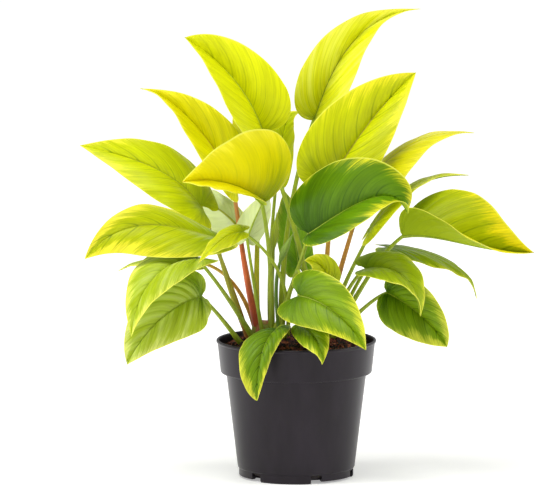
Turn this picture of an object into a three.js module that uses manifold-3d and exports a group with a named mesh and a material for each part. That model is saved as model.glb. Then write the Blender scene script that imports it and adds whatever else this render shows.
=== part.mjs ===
// A potted homalomena: heart-shaped leaves on long stalks, two short crowns, bark compost and a nursery pot.
// Millimetres, +Z up. The origin is the centre of the pot's underside, where it meets the table.

import * as THREE from "three";
import { mergeVertices } from "three/addons/utils/BufferGeometryUtils.js";
import Module from "manifold-3d";

const wasm = await Module();
wasm.setup();

// ---- Driving dimensions ------------------------------------------------------------------------

// The clearance between neighbours that really touch.
const GAP = 0.35;

// The pot tapers to its foot. The wide collar at the top steps in at the shoulder, and a rounded lip bead
// runs around the rim. The foot ring stands on three stretches of its edge, with a drain notch at each end
// of the raised stretches between them, and a flat pad stands under the middle of the floor.
const pot = {
  height: 121,
  rimRadius: 70,
  lipHeight: 2.2,
  lipWidth: 1.8,
  lipEase: 0.5,
  collarTopRadius: 69,
  collarFootRadius: 66.3,
  collarHeight: 29,
  collarEase: 0.6,
  shoulderRadius: 61.4,
  shoulderThickness: 2.2,
  bodyFootRadius: 51.3,
  footRadius: 50.2,
  footHeight: 8.6,
  footEase: 1.2,
  ringWidth: 2.4,
  wall: 1.6,
  floorTop: 4.4,
  floorCorner: 2,
  floorUnderside: 2.6,
  padRadius: 14,
  padSlope: 1,
  raisedStretches: 3,
  raisedTurn: -42,
  raisedArc: 55,
  raisedHeight: 1.8,
  notchWidth: 10,
  notchHeight: 7.4,
  notchDepth: 12,
  segments: 40,
};

// The compost domes up towards the crowns: each ring is a radius and the share of the rise reached there.
const compost = {
  edgeTop: 113,
  crownTop: 127,
  rings: [[56, 0.35], [40, 0.72], [20, 0.94]],
  segments: 28,
};

// The two short stems that the stalks spring from. bulge is the height of the widest place over the bottom.
const crowns = [
  { name: "crown_left", place: [-29, 1], radius: 11, top: 137, bottom: 112 },
  { name: "crown_right", place: [21, -1], radius: 9.5, top: 135, bottom: 112 },
];
const crownShape = {
  footShare: 0.7,
  bulge: 8,
  neckShare: 0.9,
  neckDrop: 5,
  topShare: 0.5,
  tipRise: 1,
  segments: 16,
};

const blade = { thickness: 1.2, lobeRows: 3, flankRows: 5, steps: 3 };

const stem = { sides: 6, steps: 6, stalkTaper: 1.6 };

// Half of a blade, in lengths along the midrib and half-widths across it. Behind the stalk it is between
// plain and fully lobed, and ahead of its widest place between a plain flank and one with a long thin tip.
const lobeOutline = [[-0.09, 0.24], [-0.2, 0.7], [-0.04, 1.0], [0.26, 1.0]];
const plainOutline = [[0.0, 0.06], [0.01, 0.5], [0.08, 0.9], [0.26, 1.0]];
const flankOutline = [[0.26, 1.0], [0.56, 1.0], [0.8, 0.4], [1.0, 0.0]];
const tailedOutline = [[0.26, 1.0], [0.56, 1.0], [0.72, 0.05], [1.0, 0.0]];
const widest = 0.26;

// Side veins leave the midrib closer together near its base, run across first, and then sweep to the tip.
const vein = { rootEase: 0.35, bendAhead: 0.3, bendAcross: 0.6 };

// Each leaf: rib is the midrib from the stalk to the tip, as a Bezier curve. left and right reach from
// the midrib to the margin where the blade is widest, seen with the tip ahead and the upper side up.
// belly lifts each half between midrib and margin. heart is how fully the lobes are grown (1 if not given),
// and tail how far the tip is drawn out (0 if not given, and below 0 for a fuller flank).
// stalk runs from the crown up to the first rib point.
const leaves = [
  {
    name: "top_right",
    rib: [[16, 44, 310], [28, 34, 346], [46, 46, 402], [110, 72, 404]],
    left: [-24, -20, 14], right: [17, -22, -8], belly: 3, heart: 0.1, tail: 0.8,
    stalk: [[-12, 10, 120], [-16, 10, 180], [-4, 26, 260]], radii: [3.2, 1.7],
  },
  {
    name: "upper_right",
    rib: [[28, 9, 257], [47, 2, 288], [66, 12, 320], [105, 34, 352]],
    left: [-34, -4, 22], right: [25, -20, -12], belly: 4, tail: -0.35, heart: 0.6,
    stalk: [[20, 6, 120], [24, 6, 170], [32, 6, 220]], radii: [3.4, 1.7],
  },
  {
    name: "top_left",
    rib: [[-29, 14, 302], [-37, 10, 326], [-53, 25, 356], [-98, 42, 382]],
    left: [-16, -34, -8], right: [29, -6, 19], belly: 4, tail: -0.6, heart: 0.15,
    stalk: [[16, 0, 120], [12, -2, 190], [-12, 4, 250]], radii: [3.4, 1.7],
  },
  {
    name: "upper_left",
    rib: [[-56, 10, 262], [-68, 2, 284], [-100, 14, 334], [-137, 26, 339]],
    left: [-11, -30, -5], right: [20, -4, 18], belly: 3, tail: 0.8,
    stalk: [[-30, -3, 120], [-42, 0, 150], [-50, 6, 220]], radii: [3.6, 1.7],
  },
  {
    name: "mid_left_high",
    rib: [[-84, 26, 235], [-105, 18, 268], [-144, 22, 280], [-190, 32, 288]],
    left: [-10, -24, -18], right: [10, 16, 17], belly: 4, twist: 40,
    stalk: [[-42, 4, 120], [-54, 10, 160], [-72, 22, 205]], radii: [2.8, 1.6],
  },
  {
    name: "mid_left",
    rib: [[-70, -20, 213], [-104, -38, 226], [-150, -50, 244], [-184, -60, 200]],
    left: [-3, -24, -22], right: [-2, 22, 9], belly: 4, tail: -0.4, twist: 95,
    stalk: [[-40, -6, 120], [-54, -8, 150], [-66, -10, 190]], radii: [2.8, 1.6],
  },
  {
    name: "front_left",
    rib: [[-30, -25, 244], [-42, -45, 262], [-71, -80, 276], [-99, -110, 274]],
    left: [-5, -34, 2], right: [27, 6, 50], belly: 5, heart: 0.25, tail: -0.2,
    stalk: [[-22, -8, 120], [-20, -10, 170], [-24, -14, 215]], radii: [3.2, 1.7],
  },
  {
    name: "curled_top",
    rib: [[-17, 44, 259], [-12, 50, 289], [-13, 54, 315], [4, 56, 314]],
    left: [-12, 4, -3], right: [11, 4, -5], belly: 2,
    stalk: [[-22, 8, 120], [-26, 14, 175], [-20, 30, 230]], radii: [2.4, 1.4],
  },
  {
    name: "front_centre",
    rib: [[11, -35, 219], [42, -52, 242], [84, -76, 278], [96, -82, 242]],
    left: [-18, 16, 36], right: [6, -28, -13], belly: 5, heart: 0.5,
    stalk: [[-22, -14, 120], [-12, -14, 150], [4, -26, 190]], radii: [3.0, 1.7],
  },
  {
    name: "mid_right_high",
    rib: [[60, 12, 256], [77, 10, 280], [112, 14, 306], [156, 22, 300]],
    left: [-2, 38, -6], right: [6, -34, -24], belly: 3, tail: 0.8,
    stalk: [[24, 2, 120], [30, 4, 160], [50, 10, 215]], radii: [3.2, 1.6],
  },
  {
    name: "mid_right_thin",
    rib: [[66, 0, 218], [82, 2, 244], [108, 6, 268], [151, 12, 264]],
    left: [0, 24, -4], right: [2, -24, -6], belly: 3, tail: 0.6,
    stalk: [[28, 6, 120], [34, 4, 160], [56, 0, 196]], radii: [2.6, 1.5],
  },
  {
    name: "mid_right",
    rib: [[93, -15, 214], [125, -20, 220], [160, -30, 200], [207, -40, 203]],
    left: [18, 20, 39], right: [-3, -24, 24], belly: 4, heart: 0.1, tail: -0.3, twist: -80,
    stalk: [[26, -6, 120], [50, -11, 150], [67, -13, 195]], radii: [3.0, 1.6],
  },
  {
    name: "low_right_twisted",
    rib: [[80, 14, 200], [110, 14, 200], [156, 16, 184], [158, 18, 154]],
    left: [2, 20, -3], right: [1, -18, -8], belly: 2, tail: 0.4,
    stalk: [[30, 0, 120], [44, 6, 150], [60, 12, 190]], radii: [2.4, 1.4],
  },
  {
    name: "heart_front",
    rib: [[2, -60, 168], [17, -75, 169], [46, -95, 155], [60, -105, 127]],
    left: [15, -8, 22], right: [-17, 0, -21], belly: 4, tail: -0.2,
    stalk: [[-16, -14, 120], [-6, -20, 170], [6, -44, 214]], radii: [2.6, 1.5],
  },
  {
    name: "low_right",
    rib: [[79, -35, 167], [92, -42, 162], [119, -55, 145], [131, -60, 123]],
    left: [12, -5, 20], right: [-12, -8, -22], belly: 4, tail: -0.6, heart: 0.5,
    stalk: [[26, -12, 120], [40, -16, 130], [62, -28, 160]], radii: [2.6, 1.5],
  },
  {
    name: "low_right_front",
    rib: [[61, -45, 189], [84, -55, 197], [106, -70, 183], [107, -76, 152]],
    left: [5, 22, 12], right: [-6, -28, -6], belly: 3,
    stalk: [[22, -12, 120], [36, -20, 150], [50, -32, 184]], radii: [2.6, 1.5],
  },
  {
    name: "pot_front_left",
    rib: [[-17, -54, 137], [-30, -80, 136], [-36, -92, 102], [-34, -88, 80]],
    left: [16, 7, 4], right: [-20, 5, -2], belly: 3, heart: 0.5, tail: -0.5,
    stalk: [[-12, -20, 120], [-6, -30, 138], [-12, -44, 142]], radii: [2.2, 1.3],
  },
  {
    name: "pot_front_right",
    rib: [[5, -47, 140], [12, -66, 138], [23, -82, 129], [22, -84, 111]],
    left: [12, 5, 9], right: [-9, -10, -8], belly: 2, tail: 0.2,
    stalk: [[2, -22, 120], [3, -32, 136], [4, -42, 141]], radii: [2.0, 1.3],
  },
  {
    name: "low_left",
    rib: [[-84, -40, 195], [-112, -56, 203], [-139, -76, 182], [-143, -82, 135]],
    left: [10, -24, -8], right: [-8, 30, 5], belly: 4, twist: 60,
    stalk: [[-36, -10, 120], [-52, -18, 150], [-72, -30, 180]], radii: [2.8, 1.5],
  },
  {
    name: "lowest_left",
    rib: [[-83, -40, 164], [-102, -46, 162], [-131, -58, 142], [-147, -64, 108]],
    left: [16, -14, -22], right: [-13, 12, 24], belly: 4, tail: -0.5, heart: 0.5,
    stalk: [[-44, -16, 114], [-56, -22, 130], [-70, -34, 152]], radii: [2.8, 1.5],
  },
  {
    name: "behind_left",
    rib: [[-88, 22, 186], [-104, 24, 190], [-134, 28, 190], [-156, 30, 177]],
    left: [0, -24, -5], right: [0, 24, -5], belly: 2,
    stalk: [[-34, 10, 120], [-44, 16, 165], [-66, 20, 184]], radii: [2.4, 1.4],
  },
  {
    name: "small_left",
    rib: [[-47, -54, 223], [-58, -60, 225], [-72, -68, 213], [-85, -74, 198]],
    left: [2, -12, -8], right: [-2, 14, 5], belly: 2,
    stalk: [[-8, -12, 120], [-2, -22, 178], [-24, -40, 206]], radii: [2.0, 1.3],
  },
  {
    name: "small_centre",
    rib: [[29, -35, 176], [26, -40, 189], [17, -46, 200], [7, -48, 197]],
    left: [-9, -4, -9], right: [8, -2, 10], belly: 2,
    stalk: [[16, -10, 120], [18, -16, 150], [26, -26, 170]], radii: [2.0, 1.3],
  },
  {
    name: "back_left",
    rib: [[-53, 22, 220], [-66, 38, 232], [-88, 62, 243], [-112, 84, 238]],
    left: [4, 4, 12], right: [-4, 8, -22], belly: 3,
    stalk: [[-32, 12, 120], [-40, 14, 160], [-46, 14, 200]], radii: [2.4, 1.4],
  },
  {
    name: "back_centre",
    rib: [[-43, -6, 210], [-38, -4, 226], [-30, 0, 240], [-24, 4, 252]],
    left: [13, 4, -2], right: [-13, 4, 2], belly: 2,
    stalk: [[-28, -12, 120], [-34, -10, 150], [-40, -8, 190]], radii: [2.0, 1.3],
  },
  {
    name: "back_right",
    rib: [[2, 28, 181], [-1, 40, 205], [-7, 64, 225], [-10, 88, 240]],
    left: [-15, 2, -2], right: [15, 2, -2], belly: 3,
    stalk: [[-14, 8, 120], [-10, 16, 150], [-2, 24, 170]], radii: [2.4, 1.4],
  },
  {
    name: "back_high",
    rib: [[-37, 24, 275], [-38, 36, 315], [-42, 64, 345], [-50, 92, 348]],
    left: [-17, 3, 0], right: [17, 3, 0], belly: 3,
    stalk: [[-33, 4, 120], [-38, 4, 170], [-30, 12, 235]], radii: [3.2, 1.7],
  },
];

// Rolled young leaves that stand up as spears: path is a Bezier curve from the crown to the tip.
const spears = [
  { name: "young_spear_pale", path: [[-14, -16, 120], [-20, -18, 170], [-20, -20, 190], [-2, -26, 219]] },
  { name: "young_spear_yellow", path: [[-20, -2, 120], [-22, -4, 170], [-21, -8, 200], [-17, -14, 235]] },
];
const spear = { stem: 1.6, roll: 3.6, tip: 0.5, rollStart: 0.6 };

const finish = {
  pot: { color: 0x3a383b, roughness: 0.45 },
  compost: { color: 0x5a2e22, roughness: 0.95 },
  crown: { color: 0x9a6a3a, roughness: 0.7 },
  blade: { color: 0x9cc414, roughness: 0.4 },
  stalk: { color: 0x8faa2c, roughness: 0.45 },
  spear: { color: 0xd2d840, roughness: 0.45 },
};

// ---- Solids and meshes -------------------------------------------------------------------------

function toSolid(geometry) {
  geometry.deleteAttribute("normal");
  geometry.deleteAttribute("uv");
  const merged = mergeVertices(geometry, 1e-4);
  const positions = merged.getAttribute("position").array;
  const mesh = new wasm.Mesh({
    numProp: 3,
    vertProperties: new Float32Array(positions),
    triVerts: new Uint32Array(merged.getIndex().array),
  });
  return new wasm.Manifold(mesh);
}

function toMesh(name, solid, look) {
  const data = solid.getMesh();
  const geometry = new THREE.BufferGeometry();
  geometry.setAttribute("position", new THREE.BufferAttribute(data.vertProperties, 3));
  geometry.setIndex(new THREE.BufferAttribute(data.triVerts, 1));
  geometry.computeVertexNormals();
  const mesh = new THREE.Mesh(geometry, new THREE.MeshStandardMaterial({ ...look, metalness: 0 }));
  mesh.name = name;
  return mesh;
}

function boxesMeet(a, b) {
  const p = a.boundingBox();
  const q = b.boundingBox();
  return [0, 1, 2].every((i) => p.min[i] < q.max[i] && q.min[i] < p.max[i]);
}

// The largest body that is left of a solid.
function largest(solid) {
  const bodies = solid.decompose();
  return bodies.reduce((best, body) => (body.volume() > best.volume() ? body : best));
}

// The solid with a clearance cut for each neighbour that it would touch.
function clearOf(solid, neighbours) {
  const close = neighbours.filter((other) => boxesMeet(solid, other));
  return close.length ? largest(close.reduce((rest, other) => rest.subtract(other), solid)) : solid;
}

// A Bezier curve of any number of points, as a three.js curve.
class BezierPath extends THREE.Curve {
  constructor(points) {
    super();
    this.points = points.map((p) => new THREE.Vector3(...p));
  }

  getPoint(t, target = new THREE.Vector3()) {
    let row = this.points.map((p) => p.clone());
    while (row.length > 1) {
      row = row.slice(1).map((p, i) => row[i].clone().lerp(p, t));
    }
    return target.copy(row[0]);
  }
}

// ---- Leaf blades -------------------------------------------------------------------------------

function planar(points, t) {
  const curve = new BezierPath(points.map(([x, y]) => [x, y, 0]));
  return curve.getPoint(t);
}

// An outline between two others.
function mixed(from, to, share) {
  return from.map((point, i) => point.map((value, axis) => THREE.MathUtils.lerp(value, to[i][axis], share)));
}

// Rows that follow the side veins of a half blade: from a place on the midrib to a place on the margin.
function veinRows(heart, tail) {
  const lobe = mixed(plainOutline, lobeOutline, heart);
  const flank = mixed(flankOutline, tailedOutline, tail);
  const rows = [];
  for (let i = 0; i < blade.lobeRows; i += 1) {
    rows.push({ root: 0, margin: planar(lobe, i / blade.lobeRows) });
  }
  for (let i = 0; i < blade.flankRows; i += 1) {
    const t = i / blade.flankRows;
    rows.push({ root: t * THREE.MathUtils.lerp(vein.rootEase, 1, t), margin: planar(flank, t) });
  }
  return rows;
}

function veinPoint({ root, margin }, s) {
  const bend = new THREE.Vector2(root + vein.bendAhead * (margin.x - root), vein.bendAcross * margin.y);
  const x = (1 - s) ** 2 * root + 2 * s * (1 - s) * bend.x + s * s * margin.x;
  const y = 2 * s * (1 - s) * bend.y + s * s * margin.y;
  return [x, y];
}

// The frame of the blade at a place along its rib: ahead, to the right, and up out of its upper side.
// A leaf with a twist turns by that many degrees about its rib between the base and the tip.
function ribFrame(leaf, curve, t) {
  const ahead = curve.getTangent(Math.min(Math.max(t, 0), 1));
  const across = new THREE.Vector3(...leaf.right).sub(new THREE.Vector3(...leaf.left));
  const right = across.addScaledVector(ahead, -across.dot(ahead)).normalize();
  right.applyAxisAngle(ahead, -THREE.MathUtils.degToRad(leaf.twist ?? 0) * (t - widest));
  const up = new THREE.Vector3().crossVectors(right, ahead);
  return [ahead, right, up];
}

// Places a planar point of one half on the bent blade.
function bladePoint(leaf, curve, side, x, y) {
  const home = ribFrame(leaf, curve, widest);
  const reach = new THREE.Vector3(...leaf[side]);
  const [ahead, right, up] = ribFrame(leaf, curve, x);
  const point = curve.getPoint(Math.min(Math.max(x, 0), 1));
  if (x < 0) {
    point.addScaledVector(ahead, x * curve.getLength());
  }
  point.addScaledVector(ahead, y * reach.dot(home[0]));
  point.addScaledVector(right, y * reach.dot(home[1]));
  point.addScaledVector(up, y * reach.dot(home[2]) + 4 * leaf.belly * y * (1 - y));
  return point;
}

// The middle surface of a blade as points and triangles, and its margin as a closed loop of points.
function bladeSheet(leaf) {
  const curve = new BezierPath(leaf.rib);
  const rows = veinRows(leaf.heart ?? 1, leaf.tail ?? 0);
  const points = [bladePoint(leaf, curve, "right", 0, 0)];
  const ribIndex = rows.map(({ root }) => {
    if (root === 0) {
      return 0;
    }
    return points.push(bladePoint(leaf, curve, "right", root, 0)) - 1;
  });
  const tip = points.push(bladePoint(leaf, curve, "right", 1, 0)) - 1;
  const triangles = [];
  const loops = {};
  for (const side of ["left", "right"]) {
    const grid = rows.map((row, i) => {
      const line = [ribIndex[i]];
      for (let k = 1; k <= blade.steps; k += 1) {
        const [x, y] = veinPoint(row, k / blade.steps);
        line.push(points.push(bladePoint(leaf, curve, side, x, y)) - 1);
      }
      return line;
    });
    const face = (a, b, c) => {
      if (a !== b && b !== c && a !== c) {
        triangles.push(side === "right" ? [a, b, c] : [a, c, b]);
      }
    };
    for (let i = 0; i < grid.length; i += 1) {
      const next = grid[i + 1] ?? grid[i].map(() => tip);
      for (let k = 0; k < blade.steps; k += 1) {
        face(grid[i][k], grid[i][k + 1], next[k + 1]);
        face(grid[i][k], next[k + 1], next[k]);
      }
    }
    loops[side] = [...grid[0].slice(1), ...grid.slice(1).map((line) => line.at(-1))];
  }
  const loop = [0, ...loops.right, tip, ...loops.left.reverse()];
  return { points, triangles, loop };
}

// A closed shell of even thickness around the middle surface.
function bladeSolid(leaf, thickness) {
  const { points, triangles, loop } = bladeSheet(leaf);
  const sheet = new THREE.BufferGeometry().setFromPoints(points);
  sheet.setIndex(triangles.flat());
  sheet.computeVertexNormals();
  const normals = sheet.getAttribute("normal");
  const normal = new THREE.Vector3();
  const layer = (distance) => points.map((p, i) => {
    return p.clone().addScaledVector(normal.fromBufferAttribute(normals, i), distance);
  });
  const all = [...layer(thickness / 2), ...layer(-thickness / 2)];
  const count = points.length;
  const faces = triangles.flatMap(([a, b, c]) => [[a, b, c], [a + count, c + count, b + count]]);
  loop.forEach((a, i) => {
    const b = loop[(i + 1) % loop.length];
    faces.push([a, a + count, b + count], [a, b + count, b]);
  });
  const shell = new THREE.BufferGeometry().setFromPoints(all);
  shell.setIndex(faces.flat());
  return toSolid(shell);
}

// ---- Stalks, crowns, compost and pot -----------------------------------------------------------

// A round stem along a Bezier curve, whose radius changes along its length. extra is added to the radius.
function stemSolid(points, radiusAt, extra) {
  const path = new BezierPath(points);
  const section = new THREE.Shape();
  for (let i = 0; i < stem.sides; i += 1) {
    const angle = (2 * Math.PI * i) / stem.sides;
    const corner = [Math.cos(angle), Math.sin(angle)];
    if (i === 0) {
      section.moveTo(...corner);
    } else {
      section.lineTo(...corner);
    }
  }
  section.closePath();
  const options = { steps: stem.steps, bevelEnabled: false, extrudePath: path };
  const geometry = new THREE.ExtrudeGeometry(section, options);
  const centres = path.getSpacedPoints(stem.steps);
  const places = geometry.getAttribute("position");
  const vertex = new THREE.Vector3();
  for (let i = 0; i < places.count; i += 1) {
    vertex.fromBufferAttribute(places, i);
    const distances = centres.map((centre) => centre.distanceTo(vertex));
    const nearest = distances.indexOf(Math.min(...distances));
    const radius = radiusAt(nearest / stem.steps) + extra;
    vertex.sub(centres[nearest]).multiplyScalar(radius).add(centres[nearest]);
    places.setXYZ(i, vertex.x, vertex.y, vertex.z);
  }
  return toSolid(geometry);
}

function stalkSolid(leaf, extra) {
  const [foot, top] = leaf.radii;
  const radiusAt = (t) => top + (foot - top) * (1 - t) ** stem.stalkTaper;
  return stemSolid([...leaf.stalk, leaf.rib[0]], radiusAt, extra);
}

function spearSolid({ path }, extra) {
  const radiusAt = (t) => {
    if (t < spear.rollStart) {
      return spear.stem;
    }
    const swell = Math.sin((Math.PI * (1 - t)) / (1 - spear.rollStart)) ** 2;
    return spear.tip + (spear.roll - spear.tip) * swell;
  };
  return stemSolid(path, radiusAt, extra);
}

// Turns a profile of [radius, height] points, which starts and ends on the axis, about the Z axis.
function solidOfRevolution(profile, segments) {
  const geometry = new THREE.LatheGeometry(profile.map(([r, z]) => new THREE.Vector2(r, z)), segments);
  geometry.rotateX(Math.PI / 2);
  return toSolid(geometry);
}

function potSolid() {
  const collarFoot = pot.height - pot.collarHeight;
  const ringInside = pot.footRadius - pot.footEase - pot.ringWidth;
  const floorRadius = pot.bodyFootRadius - pot.wall;
  const outside = [
    [0, 0],
    [pot.padRadius, 0],
    [pot.padRadius + pot.padSlope, pot.floorUnderside],
    [ringInside - pot.lipEase, pot.floorUnderside],
    [ringInside, 0],
    [pot.footRadius - pot.footEase, 0],
    [pot.footRadius, pot.footEase],
    [pot.footRadius, pot.footHeight - pot.collarEase],
    [pot.bodyFootRadius, pot.footHeight],
    [pot.shoulderRadius, collarFoot - pot.collarEase],
    [pot.collarFootRadius - pot.collarEase, collarFoot],
    [pot.collarFootRadius, collarFoot + pot.collarEase],
    [pot.collarTopRadius, pot.height - pot.lipHeight - pot.collarEase],
    [pot.rimRadius, pot.height - pot.lipHeight],
    [pot.rimRadius, pot.height - pot.lipEase],
    [pot.rimRadius - pot.lipEase, pot.height],
  ];
  const inside = [
    [pot.rimRadius - pot.lipWidth, pot.height],
    [pot.collarTopRadius - pot.wall, pot.height - pot.lipHeight],
    [pot.collarFootRadius - pot.wall, collarFoot + pot.shoulderThickness],
    [pot.shoulderRadius - pot.wall, collarFoot],
    [floorRadius, pot.floorTop + pot.floorCorner],
    [floorRadius - pot.floorCorner, pot.floorTop],
    [0, pot.floorTop],
  ];
  const half = THREE.MathUtils.degToRad(pot.raisedArc / 2);
  const openings = [];
  for (let i = 0; i < pot.raisedStretches; i += 1) {
    const middle = THREE.MathUtils.degToRad(pot.raisedTurn + (360 / pot.raisedStretches) * i);
    openings.push(raisedSector(middle, half), drainNotch(middle - half), drainNotch(middle + half));
  }
  const body = solidOfRevolution([...outside, ...inside], pot.segments);
  return openings.reduce((rest, opening) => rest.subtract(opening), body);
}

// The space under a stretch of the foot ring that stands clear of the table.
function raisedSector(middle, half) {
  const sector = new THREE.Shape();
  sector.absarc(0, 0, pot.footRadius + pot.notchDepth / 2, middle - half, middle + half, false);
  sector.absarc(0, 0, pot.footRadius - pot.notchDepth / 2, middle + half, middle - half, true);
  sector.closePath();
  const geometry = new THREE.ExtrudeGeometry(sector, {
    depth: 2 * pot.raisedHeight,
    bevelEnabled: false,
    curveSegments: 6,
  });
  geometry.translate(0, 0, -pot.raisedHeight);
  return toSolid(geometry);
}

function drainNotch(angle) {
  const geometry = new THREE.BoxGeometry(pot.notchDepth, pot.notchWidth, 2 * pot.notchHeight);
  geometry.translate(pot.footRadius, 0, 0);
  geometry.rotateZ(angle);
  return toSolid(geometry);
}

// The compost fills the pot and stands GAP clear of its wall and floor.
function compostSolid() {
  const collarFoot = pot.height - pot.collarHeight;
  const inset = pot.wall + GAP;
  const floor = pot.floorTop + GAP;
  const floorRadius = pot.bodyFootRadius - inset;
  const rise = compost.crownTop - compost.edgeTop;
  const profile = [
    [0, floor],
    [floorRadius - pot.floorCorner - GAP, floor],
    [floorRadius - GAP, floor + pot.floorCorner],
    [pot.shoulderRadius - inset - GAP, collarFoot],
    [pot.collarFootRadius - inset - GAP, collarFoot + pot.shoulderThickness + GAP],
    [pot.collarTopRadius - inset - 2 * GAP, compost.edgeTop],
    ...compost.rings.map(([radius, share]) => [radius, compost.edgeTop + share * rise]),
    [0, compost.crownTop],
  ];
  return solidOfRevolution(profile, compost.segments);
}

function crownSolid({ place, radius, top, bottom }, extra) {
  const profile = [
    [0, bottom - extra],
    [radius * crownShape.footShare + extra, bottom - extra],
    [radius + extra, bottom + crownShape.bulge],
    [radius * crownShape.neckShare + extra, top - crownShape.neckDrop],
    [radius * crownShape.topShare + extra, top + extra],
    [0, top + crownShape.tipRise + extra],
  ];
  return solidOfRevolution(profile, crownShape.segments).translate([...place, 0]);
}

// ---- Assembly ----------------------------------------------------------------------------------

const plant = new THREE.Group();

// Room kept free of later pieces around each stalk.
const stalkRoom = [];
for (const leaf of leaves) {
  const ownRoom = [bladeSolid(leaf, blade.thickness + 4 * GAP), bladeSolid(leaf, blade.thickness)];
  const stalk = clearOf(stalkSolid(leaf, 0), [...ownRoom, ...stalkRoom]);
  plant.add(toMesh(`blade_${leaf.name}`, bladeSolid(leaf, blade.thickness), finish.blade));
  plant.add(toMesh(`stalk_${leaf.name}`, stalk, finish.stalk));
  stalkRoom.push(stalkSolid(leaf, GAP));
}
for (const item of spears) {
  plant.add(toMesh(item.name, clearOf(spearSolid(item, 0), stalkRoom), finish.spear));
  stalkRoom.push(spearSolid(item, GAP));
}
for (const crown of crowns) {
  plant.add(toMesh(crown.name, clearOf(crownSolid(crown, 0), stalkRoom), finish.crown));
}
const crownRoom = crowns.map((crown) => crownSolid(crown, GAP));
plant.add(toMesh("compost", clearOf(compostSolid(), [...stalkRoom, ...crownRoom]), finish.compost));
plant.add(toMesh("pot", potSolid(), finish.pot));

export default plant;
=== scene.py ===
"""A potted homalomena: heart-shaped leaves on long stalks, bark compost and a moulded nursery pot.

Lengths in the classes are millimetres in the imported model's frame, and meshes are built in metres.
"""

from __future__ import annotations

import logging
import math
from dataclasses import dataclass, field
from enum import Enum

import bmesh
import bpy
import numpy as np
from mathutils import Matrix, Vector


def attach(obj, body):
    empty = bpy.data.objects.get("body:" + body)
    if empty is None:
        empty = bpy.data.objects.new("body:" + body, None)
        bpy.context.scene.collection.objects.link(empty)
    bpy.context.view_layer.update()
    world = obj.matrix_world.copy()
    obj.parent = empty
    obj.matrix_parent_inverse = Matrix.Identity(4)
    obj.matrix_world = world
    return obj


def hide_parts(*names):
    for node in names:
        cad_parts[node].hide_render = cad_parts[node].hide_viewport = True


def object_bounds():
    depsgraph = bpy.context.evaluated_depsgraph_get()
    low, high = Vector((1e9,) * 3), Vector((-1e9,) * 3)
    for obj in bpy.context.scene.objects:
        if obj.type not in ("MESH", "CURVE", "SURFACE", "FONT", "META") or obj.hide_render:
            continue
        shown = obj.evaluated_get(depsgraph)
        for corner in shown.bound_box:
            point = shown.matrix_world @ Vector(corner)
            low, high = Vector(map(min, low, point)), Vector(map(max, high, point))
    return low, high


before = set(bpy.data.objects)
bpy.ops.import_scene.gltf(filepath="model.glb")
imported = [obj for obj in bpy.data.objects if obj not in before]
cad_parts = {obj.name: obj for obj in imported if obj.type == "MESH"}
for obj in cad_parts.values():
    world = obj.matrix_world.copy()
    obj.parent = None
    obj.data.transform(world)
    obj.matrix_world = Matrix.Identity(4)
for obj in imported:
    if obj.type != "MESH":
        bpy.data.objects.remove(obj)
CAD_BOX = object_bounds()

LOG = logging.getLogger("homalomena")
MM = 0.001
BODY = "root"
SEED = 7
# What a blade's points know: place along the midrib, share of the way to the margin, count of the side vein,
# and a number that tells one half of one leaf from all others.
FACTS = ("along", "across", "vein", "sort")
# Turned profiles meet the axis below this radius, in millimetres.
ON_AXIS = 1e-6
# Points of one blade are merged within this distance, in millimetres.
WELD = 0.002

Point = tuple[float, float, float]


# ---- Small helpers -----------------------------------------------------------------------------


def linear(code: str, alpha: float = 1.0) -> tuple[float, float, float, float]:
    """Turns an sRGB hex colour into linear RGBA.

    Args:
        code: the colour as "#RRGGBB".
        alpha: its opacity.

    Returns:
        Red, green, blue and alpha, each from 0 to 1.
    """
    values = [int(code[i : i + 2], 16) / 255 for i in (1, 3, 5)]
    red, green, blue = (v / 12.92 if v <= 0.04045 else ((v + 0.055) / 1.055) ** 2.4 for v in values)
    return red, green, blue, alpha


def feed(tree: bpy.types.NodeTree, node: bpy.types.Node, inputs: dict) -> None:
    """Gives a node's inputs, by name or index, their values or links. A node stands for its first output."""
    for key, value in inputs.items():
        if isinstance(value, bpy.types.Node):
            value = value.outputs[0]
        if isinstance(value, bpy.types.NodeSocket):
            tree.links.new(value, node.inputs[key])
        else:
            node.inputs[key].default_value = value


def add(tree: bpy.types.NodeTree, kind: str, inputs: dict | None = None, **settings: object) -> bpy.types.Node:
    """Adds a node with its settings, input values and links.

    Args:
        tree: the node tree that gets the node.
        kind: the node's type name.
        inputs: value, socket or node for each input, by name or index.
        settings: properties of the node.

    Returns:
        The new node.
    """
    node = tree.nodes.new(kind)
    for key, value in settings.items():
        setattr(node, key, value)
    feed(tree, node, inputs or {})
    return node


def start_material(
    name: str,
) -> tuple[bpy.types.Material, bpy.types.NodeTree, bpy.types.Node, bpy.types.NodeSocket]:
    """Starts a material.

    Args:
        name: what the real material is and how its surface was made.

    Returns:
        The material, its node tree, its shader and the Object coordinates.
    """
    made = bpy.data.materials.new(name)
    made.use_nodes = True
    tree = made.node_tree
    return made, tree, tree.nodes["Principled BSDF"], add(tree, "ShaderNodeTexCoord").outputs["Object"]


def stand(name: str, data: bpy.types.ID) -> bpy.types.Object:
    """Makes an object of a mesh, curve, light or camera and puts it in the scene."""
    thing = bpy.data.objects.new(name, data)
    bpy.context.scene.collection.objects.link(thing)
    return thing


def bezier(points: np.ndarray, t: np.ndarray) -> np.ndarray:
    """Places on a Bezier curve of any number of points.

    Args:
        points: the control points, one a row.
        t: the places along the curve, from 0 to 1.

    Returns:
        One point a row.
    """
    row = [np.broadcast_to(p, (len(t), len(p))) for p in points]
    while len(row) > 1:
        row = [a + (b - a) * t[:, None] for a, b in zip(row, row[1:])]
    return row[0]


def tangent(points: np.ndarray, t: np.ndarray) -> np.ndarray:
    """Unit directions of a Bezier curve at places along it."""
    steps = bezier(np.diff(points, axis=0), t)
    return steps / np.linalg.norm(steps, axis=1, keepdims=True)


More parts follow.
